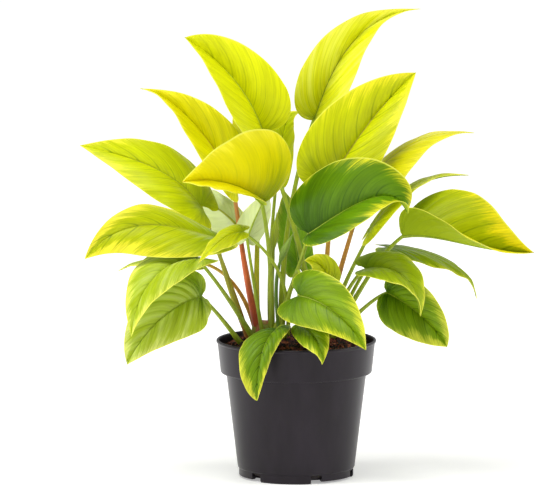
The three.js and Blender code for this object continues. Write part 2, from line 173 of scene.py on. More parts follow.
def mesh_object(name: str, points: np.ndarray, faces: list[list[int]]) -> bpy.types.Object:
    """Makes an object from points in millimetres and faces."""
    mesh = bpy.data.meshes.new(name)
    mesh.from_pydata((np.asarray(points) * MM).tolist(), [], faces)
    mesh.update()
    return stand(name, mesh)


def freeze(thing: bpy.types.Object) -> bpy.types.Object:
    """Turns what an object's modifiers make into its plain mesh and removes them."""
    graph = bpy.context.evaluated_depsgraph_get()
    made = bpy.data.meshes.new_from_object(thing.evaluated_get(graph), depsgraph=graph)
    old = thing.data
    thing.modifiers.clear()
    if thing.type == "MESH":
        thing.data = made
        made.name = thing.name
        bpy.data.meshes.remove(old)
        return thing
    name = thing.name
    bpy.data.objects.remove(thing)
    return stand(name, made)


def smooth(thing: bpy.types.Object, angle: float | None = None) -> None:
    """Shades an object smooth, and sharp past an angle in degrees if one is given."""
    thing.data.shade_smooth()
    if angle is not None:
        thing.data.set_sharp_from_angle(angle=math.radians(angle))


def weld(thing: bpy.types.Object, distance: float) -> None:
    """Merges a mesh's vertices that lie within a distance in millimetres."""
    work = bmesh.new()
    work.from_mesh(thing.data)
    bmesh.ops.remove_doubles(work, verts=work.verts, dist=distance * MM)
    work.to_mesh(thing.data)
    work.free()


def hold_in_box(thing: bpy.types.Object) -> None:
    """Presses what stands a hair outside the model's box back to the box's sides."""
    places = np.empty(3 * len(thing.data.vertices), dtype=np.float32)
    thing.data.vertices.foreach_get("co", places)
    held = np.clip(places.reshape(-1, 3), *CAD_BOX).astype(np.float32)
    thing.data.vertices.foreach_set("co", held.ravel())
    thing.data.update()


def settle(thing: bpy.types.Object, slot: str, *nodes: str) -> None:
    """Hands a finished piece to the frame.

    Args:
        thing: the piece.
        slot: the record's material slot that it stands for.
        nodes: the model's nodes that it replaces.
    """
    hold_in_box(thing)
    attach(thing, BODY)
    if nodes:
        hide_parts(*nodes)
    LOG.info("%s: %d faces, %s", thing.name, len(thing.data.polygons), slot)


def run_tree(thing: bpy.types.Object, tree: bpy.types.NodeTree, values: dict[str, object]) -> None:
    """Puts a Geometry Nodes tree on an object.

    Args:
        thing: the object.
        tree: the tree.
        values: the tree's inputs by name.
    """
    modifier = thing.modifiers.new(tree.name, "NODES")
    modifier.node_group = tree
    for item in tree.interface.items_tree:
        if item.item_type == "SOCKET" and item.in_out == "INPUT" and item.name in values:
            modifier[item.identifier] = values[item.name]
    thing.update_tag()


def new_tree(name: str, sockets: list[tuple[str, str, object]]) -> tuple[bpy.types.NodeTree, bpy.types.Node]:
    """Starts a Geometry Nodes tree with a geometry in, a geometry out and named inputs.

    Args:
        name: the tree's name.
        sockets: (name, socket type, first value) of each further input.

    Returns:
        The tree and its input node.
    """
    tree = bpy.data.node_groups.new(name, "GeometryNodeTree")
    tree.interface.new_socket("Geometry", in_out="INPUT", socket_type="NodeSocketGeometry")
    tree.interface.new_socket("Geometry", in_out="OUTPUT", socket_type="NodeSocketGeometry")
    for label, kind, value in sockets:
        item = tree.interface.new_socket(label, in_out="INPUT", socket_type=kind)
        if value is not None:
            item.default_value = value
    return tree, tree.nodes.new("NodeGroupInput")


def close_tree(tree: bpy.types.NodeTree, geometry: bpy.types.Node, material: bpy.types.NodeSocket) -> None:
    """Ends a Geometry Nodes tree in Realize Instances and Set Material."""
    real = add(tree, "GeometryNodeRealizeInstances", {0: geometry})
    dressed = add(tree, "GeometryNodeSetMaterial", {"Geometry": real, "Material": material})
    add(tree, "NodeGroupOutput", {0: dressed})


# ---- Finishes ----------------------------------------------------------------------------------


@dataclass(frozen=True)
class LeafTissue:
    """Living leaf tissue under a waxy cuticle, grown in place.

    The tissue turns from green to yellow between the side veins first, starting at the margin. The sunken
    veins stay darker, a pale line of thick tissue edges the blade, and the wax gives a broad, soft gloss.

    Attributes:
        name: the material's name.
        body: colour of the blade between midrib and margin.
        deep: colour along the veins and around the base.
        margin: colour that the blade turns to.
        edge: colour of the thin line along the margin.
        under: colour of the lower side.
        turn: share of the way to the margin at which the colour has half turned.
        softness: width of that change.
        tip_turn: how much further in the turn has moved at the tip.
        veining: strength of the dark veins.
        base_green_and_shade: reach of the deep colour from the base, which is partly the leaf's own green and partly
            painted shade where the blade meets its stalk.
        streak: how much lighter and darker the streaks along the veins are.
        painted_sheen: strength of the painted sheen, pale bands between the veins that stand in for the lamps'
            highlights.
    """

    name: str
    body: str
    deep: str
    margin: str
    edge: str = "#E6E65A"
    under: str = "#A9BF2E"
    turn: float = 1.0
    softness: float = 0.3
    tip_turn: float = 0.25
    veining: float = 0.6
    base_green_and_shade: float = 0.4
    streak: float = 0.13
    painted_sheen: float = 0.0

    def material(self) -> bpy.types.Material:
        """Builds the material, which reads the blade's own attributes."""
        made, tree, shader, solid = start_material(self.name)
        along, across, vein, sort, lower = (
            add(tree, "ShaderNodeAttribute", attribute_name=fact).outputs["Fac"] for fact in (*FACTS, "underside")
        )

        # Streaks follow the side veins: several across one vein space, and long from midrib to margin.
        drawn = add(tree, "ShaderNodeMath", {0: across, 1: 0.45}, operation="MULTIPLY")
        place = add(tree, "ShaderNodeCombineXYZ", {0: vein, 1: drawn, 2: sort})
        broad = add(tree, "ShaderNodeTexNoise", {"Vector": place, "Scale": 1.2, "Detail": 2.0}).outputs["Fac"]
        fine = add(
            tree, "ShaderNodeTexNoise", {"Vector": place, "Scale": 8.0, "Detail": 3.0, "Roughness": 0.6}
        ).outputs["Fac"]
        mixed = add(tree, "ShaderNodeMath", {0: broad, 1: fine}, operation="ADD")
        shift = add(tree, "ShaderNodeMath", {0: mixed, 1: 0.6, 2: -0.6}, operation="MULTIPLY_ADD")
        near = add(tree, "ShaderNodeMath", {0: along, 1: self.tip_turn, 2: across}, operation="MULTIPLY_ADD")
        reach = add(tree, "ShaderNodeMath", {0: near, 1: shift}, operation="ADD")
        turned = add(
            tree,
            "ShaderNodeMapRange",
            {0: reach, 1: self.turn - self.softness / 2, 2: self.turn + self.softness / 2},
            interpolation_type="SMOOTHSTEP",
        )

        # Side veins lie where the vein count is whole, and fade towards the margin.
        off_vein = add(tree, "ShaderNodeMath", {0: vein, 1: 0.5}, operation="PINGPONG")
        on_vein = add(
            tree, "ShaderNodeMapRange", {0: off_vein, 1: 0.0, 2: 0.1, 3: 1.0, 4: 0.0}, interpolation_type="SMOOTHSTEP"
        )
        fade = add(tree, "ShaderNodeMapRange", {0: across, 1: 0.2, 2: 1.0, 3: self.veining, 4: 0.25 * self.veining})
        lines = add(tree, "ShaderNodeMath", {0: on_vein, 1: fade}, operation="MULTIPLY")
        count = add(tree, "ShaderNodeMath", {0: vein, 1: 4.0}, operation="MULTIPLY")
        off_small = add(tree, "ShaderNodeMath", {0: count, 1: 0.5}, operation="PINGPONG")
        small = add(tree, "ShaderNodeMapRange", {0: off_small, 1: 0.0, 2: 0.22, 3: 0.35, 4: 0.0})
        small_fade = add(tree, "ShaderNodeMath", {0: small, 1: fade}, operation="MULTIPLY")
        # Deep colour round the base of the midrib: partly the leaf's own green, partly painted shade where the blade
        # meets its stalk.
        base = add(tree, "ShaderNodeMath", {0: along, 1: 2.0, 2: across}, operation="MULTIPLY_ADD")
        around = add(tree, "ShaderNodeMath", {0: base, 1: shift}, operation="ADD")
        heart = add(
            tree,
            "ShaderNodeMapRange",
            {0: around, 1: 0.0, 2: max(self.base_green_and_shade, 0.05) * 3, 3: 0.8 if self.base_green_and_shade else 0.0, 4: 0.0},
            interpolation_type="SMOOTHSTEP",
        )
        crease = add(tree, "ShaderNodeMapRange", {0: across, 1: 0.0, 2: 0.04, 3: 0.8, 4: 0.0})
        dark = add(tree, "ShaderNodeMath", {0: lines, 1: heart}, operation="MAXIMUM")
        dark = add(tree, "ShaderNodeMath", {0: dark, 1: crease}, operation="MAXIMUM")
        dark = add(tree, "ShaderNodeMath", {0: dark, 1: small_fade}, operation="ADD", use_clamp=True)

        body = linear(self.body)
        colour = add(
            tree, "ShaderNodeMix", {0: turned, 6: body, 7: linear(self.margin)}, data_type="RGBA"
        ).outputs[2]
        colour = add(tree, "ShaderNodeMix", {0: dark, 6: colour, 7: linear(self.deep)}, data_type="RGBA").outputs[2]
        tone = add(tree, "ShaderNodeMapRange", {0: mixed, 1: 0.75, 2: 1.25, 3: 1 - self.streak, 4: 1 + self.streak})
        colour = add(tree, "ShaderNodeHueSaturation", {"Value": tone, "Color": colour}).outputs["Color"]
        # Painted sheen: pale patches between the veins stand in for the lamps' highlights on the ribbed wax.
        if self.painted_sheen:
            between = add(
                tree, "ShaderNodeMapRange", {0: off_vein, 1: 0.05, 2: 0.4, 3: 0.3 * self.painted_sheen, 4: self.painted_sheen}
            )
            patch = add(tree, "ShaderNodeMapRange", {0: broad, 1: 0.42, 2: 0.6})
            painted_sheen_band = add(tree, "ShaderNodeMath", {0: between, 1: patch}, operation="MULTIPLY")
            pale = linear("#E2EAA8")
            colour = add(tree, "ShaderNodeMix", {0: painted_sheen_band, 6: colour, 7: pale}, data_type="RGBA").outputs[2]
        line = add(
            tree, "ShaderNodeMapRange", {0: across, 1: 0.972, 2: 0.99, 4: 0.85}, interpolation_type="SMOOTHSTEP"
        )
        colour = add(tree, "ShaderNodeMix", {0: line, 6: colour, 7: linear(self.edge)}, data_type="RGBA").outputs[2]
        cover = add(tree, "ShaderNodeMath", {0: lower, 1: 0.72}, operation="MULTIPLY")
        colour = add(tree, "ShaderNodeMix", {0: cover, 6: colour, 7: linear(self.under)}, data_type="RGBA").outputs[2]

        # The cells of the upper skin are about 0.05 mm. They are drawn 0.7 mm wide so that they show.
        cells = add(tree, "ShaderNodeTexNoise", {"Vector": solid, "Scale": 1 / (0.7 * MM), "Detail": 2.0})
        bump = add(tree, "ShaderNodeBump", {"Strength": 0.15, "Distance": 0.15 * MM, "Height": cells.outputs["Fac"]})
        ribbed = add(
            tree, "ShaderNodeBump", {"Strength": 0.7, "Distance": 0.35 * MM, "Height": mixed, "Normal": bump}
        )
        rough = add(tree, "ShaderNodeMapRange", {0: cells.outputs["Fac"], 3: 0.3, 4: 0.44})
        duller = add(tree, "ShaderNodeMath", {0: lower, 1: 0.18, 2: rough}, operation="MULTIPLY_ADD")
        finish = {
            "Base Color": colour,
            "Normal": ribbed,
            "Roughness": duller,
            "IOR": 1.45,
            "Specular IOR Level": 0.19,
            "Subsurface Weight": 0.2,
            "Subsurface Radius": (0.8, 0.9, 0.1),
            "Subsurface Scale": 1.0 * MM,
        }
        feed(tree, shader, finish)
        return made


class Tissue(Enum):
    """The ages and lights that the blades are seen in."""

    CITRON = LeafTissue(
        "youngest leaf, citron, waxy", "#E2E414", "#A8B808", "#F4EC40", turn=1.1, tip_turn=0.3, base_green_and_shade=0.15, painted_sheen=0.2
    )
    LIME = LeafTissue("young leaf, lime, waxy", "#D0D408", "#A2AE04", "#E6E22C", turn=1.2, base_green_and_shade=0.2, streak=0.13)
    LIME_FOLD = LeafTissue(
        "young leaf, lime with bright streaks, waxy", "#C6CC08", "#8CA004", "#E8E028", turn=1.05, tip_turn=0.3,
        base_green_and_shade=0.3,
    )
    GOLD = LeafTissue(
        "newest leaf, golden, waxy", "#DCD604", "#9CAC06", "#F0E42A", turn=1.05, veining=0.4, base_green_and_shade=0.4, streak=0.12
    )
    # Its green base is partly the leaf's own colour and partly painted shade where the blade curves down to its stalk.
    GOLD_GREEN = LeafTissue(
        "turning leaf, golden with a green base, waxy", "#E4DA02", "#7C9A06", "#F0E430", turn=1.1, veining=0.12,
        base_green_and_shade=0.42, streak=0.06,
    )
    SPRING = LeafTissue("young leaf, spring green, waxy", "#C6CE08", "#8CA404", "#E8E23C", turn=1.1, base_green_and_shade=0.35)
    ARCHED = LeafTissue(
        "growing leaf, green to yellow, waxy", "#B8C208", "#728E04", "#F0E63A", turn=0.98, tip_turn=0.35, base_green_and_shade=0.5
    )
    BROAD = LeafTissue(
        "growing leaf, green with a yellow tip, waxy", "#B4BE06", "#7C9606", "#E8DA14", turn=1.05, tip_turn=0.5,
        base_green_and_shade=0.5, under="#A2B614",
    )
    MATURE = LeafTissue(
        "grown leaf, deep green, waxy", "#608806", "#325802", "#CAC81E", turn=1.08, tip_turn=0.3, base_green_and_shade=0.6,
        edge="#D6DA50", streak=0.16,
    )
    HEART = LeafTissue(
        "grown leaf, fresh green, waxy", "#94AA06", "#5E7E02", "#CCD030", turn=1.08, base_green_and_shade=0.45, streak=0.14
    )
    LEAFGREEN = LeafTissue(
        "grown leaf, leaf green, waxy", "#7A9806", "#466C02", "#C8CC2C", turn=1.04, base_green_and_shade=0.5, streak=0.15
    )
    # A grown leaf's green, darkened with painted shade for a blade that lies low under the others.
    SHADE = LeafTissue(
        "grown leaf, dark green, waxy", "#7A9A0E", "#325A02", "#C0C63A", turn=1.0, tip_turn=0.35, base_green_and_shade=0.45,
        streak=0.18,
    )
    RIMMED = LeafTissue(
        "grown leaf, green with yellow rim, waxy", "#6E900E", "#2E5604", "#CCCE38", turn=1.0, tip_turn=0.3, base_green_and_shade=0.4,
        streak=0.18, veining=0.8,
    )
    # The pale bands of the next two finishes are painted sheen, not dust on the wax.
    RIBBED = LeafTissue(
        "old leaf, ribbed, dusty wax", "#A6BA14", "#6E8C06", "#D8DE50", turn=1.02, veining=0.45, base_green_and_shade=0.35, painted_sheen=0.15
    )
    STRONG_RIBS_PAINTED_SHEEN = LeafTissue(
        "old leaf, strongly ribbed, dusty wax", "#ACC02A", "#668A12", "#D2DA66", turn=1.02, veining=0.35, base_green_and_shade=0.3,
        painted_sheen=0.22, streak=0.16,
    )
    PALE = LeafTissue(
        "back leaf, pale underside", "#C6D268", "#94AC34", "#DEE69A", under="#D8E2AE", veining=0.5, base_green_and_shade=0.2, painted_sheen=0.3
    )
    DEEP = LeafTissue("back leaf, in shade", "#76A010", "#3E6A04", "#B0BC3A", under="#7CA022", turn=1.0, streak=0.15)


@dataclass(frozen=True)
class StalkSkin:
    """The smooth, fleshy skin of a leaf stalk, grown in place: a low gloss over colour that lies under it.

    Attributes:
        name: the material's name.
        foot: colour where the stalk leaves the crown.
        middle: colour half way up.
        top: colour at the blade.
    """

    name: str
    foot: str
    middle: str
    top: str

    def material(self) -> bpy.types.Material:
        """Builds the material, which reads how far along the stalk a place is."""
        made, tree, shader, solid = start_material(self.name)
        along = add(tree, "ShaderNodeAttribute", attribute_name="along").outputs["Fac"]

        # Fibres run up the stalk: about 0.8 mm wide and 12 mm long.
        grain = add(tree, "ShaderNodeMapping", {"Vector": solid, "Scale": (1.0, 1.0, 0.07)})
        fibres = add(tree, "ShaderNodeTexNoise", {"Vector": grain, "Scale": 1 / (0.8 * MM), "Detail": 3.0})
        clouds = add(tree, "ShaderNodeTexNoise", {"Vector": solid, "Scale": 1 / (22 * MM), "Detail": 2.0})
        wander = add(tree, "ShaderNodeMath", {0: clouds.outputs["Fac"], 1: 0.3, 2: -0.15}, operation="MULTIPLY_ADD")
        place = add(tree, "ShaderNodeMath", {0: along, 1: wander}, operation="ADD")
        lower = add(tree, "ShaderNodeMapRange", {0: place, 1: 0.03, 2: 0.4}, interpolation_type="SMOOTHSTEP")
        upper = add(tree, "ShaderNodeMapRange", {0: place, 1: 0.45, 2: 0.95}, interpolation_type="SMOOTHSTEP")
        colour = add(
            tree, "ShaderNodeMix", {0: lower, 6: linear(self.foot), 7: linear(self.middle)}, data_type="RGBA"
        ).outputs[2]
        colour = add(tree, "ShaderNodeMix", {0: upper, 6: colour, 7: linear(self.top)}, data_type="RGBA").outputs[2]
        shade = add(tree, "ShaderNodeMapRange", {0: fibres.outputs["Fac"], 1: 0.3, 2: 0.7, 3: 0.78, 4: 1.14})
        colour = add(tree, "ShaderNodeHueSaturation", {"Value": shade, "Color": colour}).outputs["Color"]
        bump = add(
            tree, "ShaderNodeBump", {"Strength": 0.25, "Distance": 0.2 * MM, "Height": fibres.outputs["Fac"]}
        )
        rough = add(tree, "ShaderNodeMapRange", {0: clouds.outputs["Fac"], 3: 0.34, 4: 0.5})
        finish = {
            "Base Color": colour,
            "Normal": bump,
            "Roughness": rough,
            "IOR": 1.42,
            "Subsurface Weight": 0.15,
            "Subsurface Radius": (0.9, 0.6, 0.15),
            "Subsurface Scale": 1.5 * MM,
        }
        feed(tree, shader, finish)
        return made


class Skin(Enum):
    """The colours that the stalks come in."""

    GREEN = StalkSkin("leaf stalk, green, fleshy", "#7C8C12", "#97A822", "#A0B42A")
    OLIVE = StalkSkin("leaf stalk, olive, fleshy", "#8A5A1A", "#A8A026", "#A8B02A")
    LEMON = StalkSkin("leaf stalk, yellow-green, fleshy", "#A8901A", "#BEC022", "#B6C828")
    ORANGE = StalkSkin("leaf stalk, orange, fleshy", "#B4642A", "#D09A3C", "#C4B040")
    AMBER = StalkSkin("leaf stalk, amber, fleshy", "#A06420", "#CC8E40", "#C0AC3C")
    RED = StalkSkin("leaf stalk, red-orange, fleshy", "#A8361A", "#CE6632", "#D69C58")
    # The rolled leaves are pale and golden green; their colours here are darkened with painted shade, for the shadow
    # of the blades over them.
    SPEAR_PAINTED_SHADE = StalkSkin("rolled leaf, pale green, fleshy", "#567608", "#56780E", "#86A23E")
    SPEAR_GOLD_PAINTED_SHADE = StalkSkin("rolled leaf, golden green, fleshy", "#707C0A", "#7C8C0E", "#94A418")


@dataclass(frozen=True)
class BarkCompost:
    """Composted pine bark with coir, milled and sieved: dry, matt chips in several red-browns."""

    name: str = "pine bark compost, milled"
    shades: tuple[tuple[float, str], ...] = (
        (0.0, "#120604"),
        (0.3, "#30110C"),
        (0.6, "#5E2418"),
        (0.85, "#94503A"),
        (0.97, "#D0A884"),
    )

    def material(self) -> bpy.types.Material:
        """Builds the material, which gives each chip its own shade."""
        made, tree, shader, solid = start_material(self.name)
        chip = add(tree, "ShaderNodeAttribute", attribute_name="chip").outputs["Fac"]
        grain = add(tree, "ShaderNodeTexNoise", {"Vector": solid, "Scale": 1 / (1.6 * MM), "Detail": 4.0})
        mixed = add(tree, "ShaderNodeMath", {0: grain.outputs["Fac"], 1: 0.5, 2: -0.25}, operation="MULTIPLY_ADD")
        pick = add(tree, "ShaderNodeMath", {0: chip, 1: mixed}, operation="ADD", use_clamp=True)
        ramp = add(tree, "ShaderNodeValToRGB", {0: pick})
        while len(ramp.color_ramp.elements) < len(self.shades):
            ramp.color_ramp.elements.new(0.5)
        for stop, (at, shade) in zip(ramp.color_ramp.elements, self.shades):
            stop.position = at
            stop.color = linear(shade)
        bump = add(tree, "ShaderNodeBump", {"Strength": 0.6, "Distance": 0.4 * MM, "Height": grain.outputs["Fac"]})
        finish = {"Base Color": ramp, "Normal": bump, "Roughness": 0.82, "IOR": 1.5}
        feed(tree, shader, finish)
        return made


@dataclass(frozen=True)
class StemSheath:
    """The old leaf bases around a young stem: fibrous, half dry, brown below and red to green above."""

    name: str = "stem base, fibrous leaf sheaths"
    low: str = "#4E2A18"
    high: str = "#9C5428"
    green: str = "#86902A"

    def material(self, foot: float, top: float) -> bpy.types.Material:
        """Builds the material between two heights.

        Args:
            foot: height of the stem's foot, in millimetres.
            top: height of its top.

        Returns:
            The material.
        """
        made, tree, shader, solid = start_material(self.name)
        height = add(tree, "ShaderNodeSeparateXYZ", {0: solid}).outputs["Z"]
        grain = add(tree, "ShaderNodeMapping", {"Vector": solid, "Scale": (1.0, 1.0, 0.15)})
        fibres = add(tree, "ShaderNodeTexNoise", {"Vector": grain, "Scale": 1 / (0.9 * MM), "Detail": 4.0})
        patches = add(tree, "ShaderNodeTexNoise", {"Vector": grain, "Scale": 1 / (5 * MM), "Detail": 2.0})
        rise = add(tree, "ShaderNodeMapRange", {0: height, 1: foot * MM, 2: top * MM})
        colour = add(
            tree, "ShaderNodeMix", {0: rise, 6: linear(self.low), 7: linear(self.high)}, data_type="RGBA"
        ).outputs[2]
        patch = add(tree, "ShaderNodeMapRange", {0: patches.outputs["Fac"], 1: 0.48, 2: 0.6})
        colour = add(tree, "ShaderNodeMix", {0: patch, 6: colour, 7: linear(self.green)}, data_type="RGBA").outputs[2]
        shade = add(tree, "ShaderNodeMapRange", {0: fibres.outputs["Fac"], 1: 0.3, 2: 0.7, 3: 0.6, 4: 1.2})
        colour = add(tree, "ShaderNodeHueSaturation", {"Value": shade, "Color": colour}).outputs["Color"]
        bump = add(tree, "ShaderNodeBump", {"Strength": 0.7, "Distance": 0.5 * MM, "Height": fibres.outputs["Fac"]})
        feed(tree, shader, {"Base Color": colour, "Normal": bump, "Roughness": 0.62})
        return made


@dataclass(frozen=True)
class MouldedPolypropylene:
    """Recycled polypropylene, injection moulded: dark warm grey with a satin skin and faint flow clouds."""

    name: str = "polypropylene, injection moulded, dark grey"
    colour: str = "#1B181C"
    lighter: str = "#252127"

    def material(self) -> bpy.types.Material:
        """Builds the material."""
        made, tree, shader, solid = start_material(self.name)
        flow = add(tree, "ShaderNodeMapping", {"Vector": solid, "Scale": (1.0, 1.0, 0.3)})
        clouds = add(tree, "ShaderNodeTexNoise", {"Vector": flow, "Scale": 1 / (18 * MM), "Detail": 4.0})
        skin = add(tree, "ShaderNodeTexNoise", {"Vector": solid, "Scale": 1 / (0.8 * MM), "Detail": 2.0})
        blend = add(tree, "ShaderNodeMapRange", {0: clouds.outputs["Fac"], 1: 0.35, 2: 0.7})
        colour = add(
            tree, "ShaderNodeMix", {0: blend, 6: linear(self.colour), 7: linear(self.lighter)}, data_type="RGBA"
        ).outputs[2]
        bump = add(tree, "ShaderNodeBump", {"Strength": 0.1, "Distance": 0.1 * MM, "Height": skin.outputs["Fac"]})
        rough = add(tree, "ShaderNodeMapRange", {0: clouds.outputs["Fac"], 3: 0.28, 4: 0.38})
        finish = {
            "Base Color": colour,
            "Normal": bump,
            "Roughness": rough,
            "IOR": 1.49,
            "Specular IOR Level": 0.26,
            "Specular Tint": linear("#F4EAF2"),
        }
        feed(tree, shader, finish)
        return made


# ---- Leaves ------------------------------------------------------------------------------------


@dataclass(frozen=True)
class BladeRule:
    """How half a heart-shaped blade is drawn, in lengths along the midrib and half-widths across it.

    Attributes:
        lobe: the outline of a full lobe behind the stalk, as a Bezier curve.
        plain: the same stretch on a blade without lobes.
        flank: the outline from the widest place to the tip.
        tailed: the same stretch on a blade that ends in a long thin tip.
        widest: how far along the midrib the blade is widest.
        lobe_veins: side veins in the lobe.
        flank_veins: side veins in the flank.
        rows: rows of faces between two veins.
        steps: faces from midrib to margin.
        root_ease: how much closer together the veins leave the midrib near its base.
        bend: where a vein bends, ahead and across.
        crowding: how much closer together the faces lie towards the margin.
        sorts: steps of the number that tells a leaf, and a half of it, from the others.
        rib_end: how far along the blade its midrib stands out.
        rib_points: points along the midrib that stands out.
        stalk_points: points along a stalk.
        length_points: points that a midrib's length is measured with.
    """

    lobe: tuple = ((-0.09, 0.24), (-0.2, 0.7), (-0.04, 1.0), (0.26, 1.0))
    plain: tuple = ((0.0, 0.06), (0.01, 0.5), (0.08, 0.9), (0.26, 1.0))
    flank: tuple = ((0.26, 1.0), (0.56, 1.0), (0.8, 0.4), (1.0, 0.0))
    tailed: tuple = ((0.26, 1.0), (0.56, 1.0), (0.72, 0.05), (1.0, 0.0))
    widest: float = 0.26
    lobe_veins: int = 3
    flank_veins: int = 8
    rows: int = 7
    steps: int = 14
    root_ease: float = 0.12
    bend: tuple[float, float] = (0.3, 0.6)
    crowding: float = 0.45
    sorts: tuple[float, float] = (3.7, 1.3)
    rib_end: float = 0.94
    rib_points: int = 24
    stalk_points: int = 40
    length_points: int = 201


@dataclass(frozen=True)
class Leaf:
    """One leaf: a blade bent along its midrib, and the stalk that carries it.

    Attributes:
        name: the leaf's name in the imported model.
        rib: the midrib as a Bezier curve from stalk to tip.
        left: reach from the midrib to the left margin where the blade is widest.
        right: the same to the right margin.
        stalk: the stalk as a Bezier curve from the crown, without its last point.
        radii: the stalk's radius at the foot and at the top.
        tissue: the blade's finish.
        skin: the stalk's finish.
        belly: lift of each half between midrib and margin.
        twist: turn of the blade about its midrib from base to tip, in degrees.
        heart: how fully the lobes are grown, from 0 to 1.
        tail: how long and thin the tip is drawn out, or how full the flank is if below 0.
        quilt: height of the blade between its side veins.
        ripple: height of the waves along the margin.
    """

    name: str
    rib: tuple[Point, Point, Point, Point]
    left: Point
    right: Point
    stalk: tuple[Point, Point, Point]
    radii: tuple[float, float]
    tissue: Tissue
    skin: Skin = Skin.GREEN
    belly: float = 3.0
    twist: float = 0.0
    heart: float = 1.0
    tail: float = 0.0
    quilt: float = 0.35
    ripple: float = 0.5

    def frame(self, t: np.ndarray, rule: BladeRule) -> tuple[np.ndarray, np.ndarray, np.ndarray]:
        """The blade's own directions at places along its midrib.

        Args:
            t: the places, from 0 at the stalk to 1 at the tip.
            rule: the blade's rule.

        Returns:
            Unit vectors ahead, to the right, and up out of the upper side.
        """
        ahead = tangent(np.array(self.rib, float), np.clip(t, 0, 1))
        across = np.array(self.right, float) - np.array(self.left, float)
        right = across - ahead * (ahead @ across)[:, None]
        right /= np.linalg.norm(right, axis=1, keepdims=True)
        angle = -math.radians(self.twist) * (t - rule.widest)
        side = np.cross(ahead, right)
        right = right * np.cos(angle)[:, None] + side * np.sin(angle)[:, None]
        return ahead, right, np.cross(right, ahead)

    def place(self, x: np.ndarray, y: np.ndarray, side: str, rule: BladeRule) -> np.ndarray:
        """Places flat points of one half on the bent blade.

        Args:
            x: lengths along the midrib.
            y: half-widths across it.
            side: "left" or "right".
            rule: the blade's rule.

        Returns:
            One point a row.
        """
        rib = np.array(self.rib, float)
        reach = np.array(getattr(self, side), float)
        home = self.frame(np.array([rule.widest]), rule)
        ahead, right, up = self.frame(x, rule)
        path = bezier(rib, np.linspace(0, 1, rule.length_points))
        length = np.linalg.norm(np.diff(path, axis=0), axis=1).sum()
        points = bezier(rib, np.clip(x, 0, 1)) + ahead * (np.minimum(x, 0) * length)[:, None]
        points += ahead * (y * (home[0][0] @ reach))[:, None]
        points += right * (y * (home[1][0] @ reach))[:, None]
        lift = y * (home[2][0] @ reach) + 4 * self.belly * y * (1 - y)
        return points + up * lift[:, None]

    def sheet(self, rule: BladeRule, number: int) -> bpy.types.Object:
        """Builds the blade's middle surface, with where each point lies as attributes.

        Args:
            rule: the blade's rule.
            number: the leaf's number, which tells its streaks from another's.

        Returns:
            The surface as an object.
        """
        lobe_rows = rule.lobe_veins * rule.rows
        flank_rows = rule.flank_veins * rule.rows
        outline = np.array(rule.plain) * (1 - self.heart) + np.array(rule.lobe) * self.heart
        behind = bezier(outline, np.arange(lobe_rows) / lobe_rows)
        t = np.arange(flank_rows + 1) / flank_rows
        flank = np.array(rule.flank) * (1 - self.tail) + np.array(rule.tailed) * self.tail
        margin = np.vstack([behind, bezier(flank, t)])
        root = np.concatenate([np.zeros(lobe_rows), t * (rule.root_ease + (1 - rule.root_ease) * t)])
        along = np.concatenate([np.zeros(lobe_rows), t])
        vein = np.arange(len(margin)) / rule.rows
        s = np.arange(rule.steps + 1) / rule.steps
        s = (1 - rule.crowding) * s + rule.crowding * (1 - (1 - s) ** 2)

        points, faces = [], []
        facts: dict[str, list[float]] = {fact: [] for fact in FACTS}
        for turn, side in enumerate(("left", "right")):
            start = len(points) * len(s)
            for i, (mx, my) in enumerate(margin):
                bend_x = root[i] + rule.bend[0] * (mx - root[i])
                x = (1 - s) ** 2 * root[i] + 2 * s * (1 - s) * bend_x + s * s * mx
                y = 2 * s * (1 - s) * rule.bend[1] * my + s * s * my
                points.append(self.place(x, y, side, rule))
                facts["along"] += [along[i]] * len(s)
                facts["across"] += s.tolist()
                facts["vein"] += [vein[i]] * len(s)
                facts["sort"] += [number * rule.sorts[0] + turn * rule.sorts[1]] * len(s)
            for i in range(len(margin) - 1):
                for k in range(rule.steps):
                    a = start + i * len(s) + k
                    b = a + len(s)
                    faces.append([a, a + 1, b + 1, b] if side == "right" else [a, b, b + 1, a + 1])
        thing = mesh_object(f"leaf_{self.name}", np.vstack(points), faces)
        for key, values in facts.items():
            thing.data.attributes.new(key, "FLOAT", "POINT").data.foreach_set("value", values)
        weld(thing, WELD)
        return thing

    def midrib(self, rule: BladeRule, depth: float) -> np.ndarray:
        """The path of the rib that stands out of the lower side, a depth under the middle surface."""
        t = np.linspace(0.0, rule.rib_end, rule.rib_points)
        up = self.frame(t, rule)[2]
        return bezier(np.array(self.rib, float), t) - up * (depth * (1 - 0.6 * t))[:, None]

    def stalk_path(self, rule: BladeRule) -> np.ndarray:
        """The path of the stalk from the crown to the blade."""
        return bezier(np.array([*self.stalk, self.rib[0]], float), np.linspace(0, 1, rule.stalk_points))


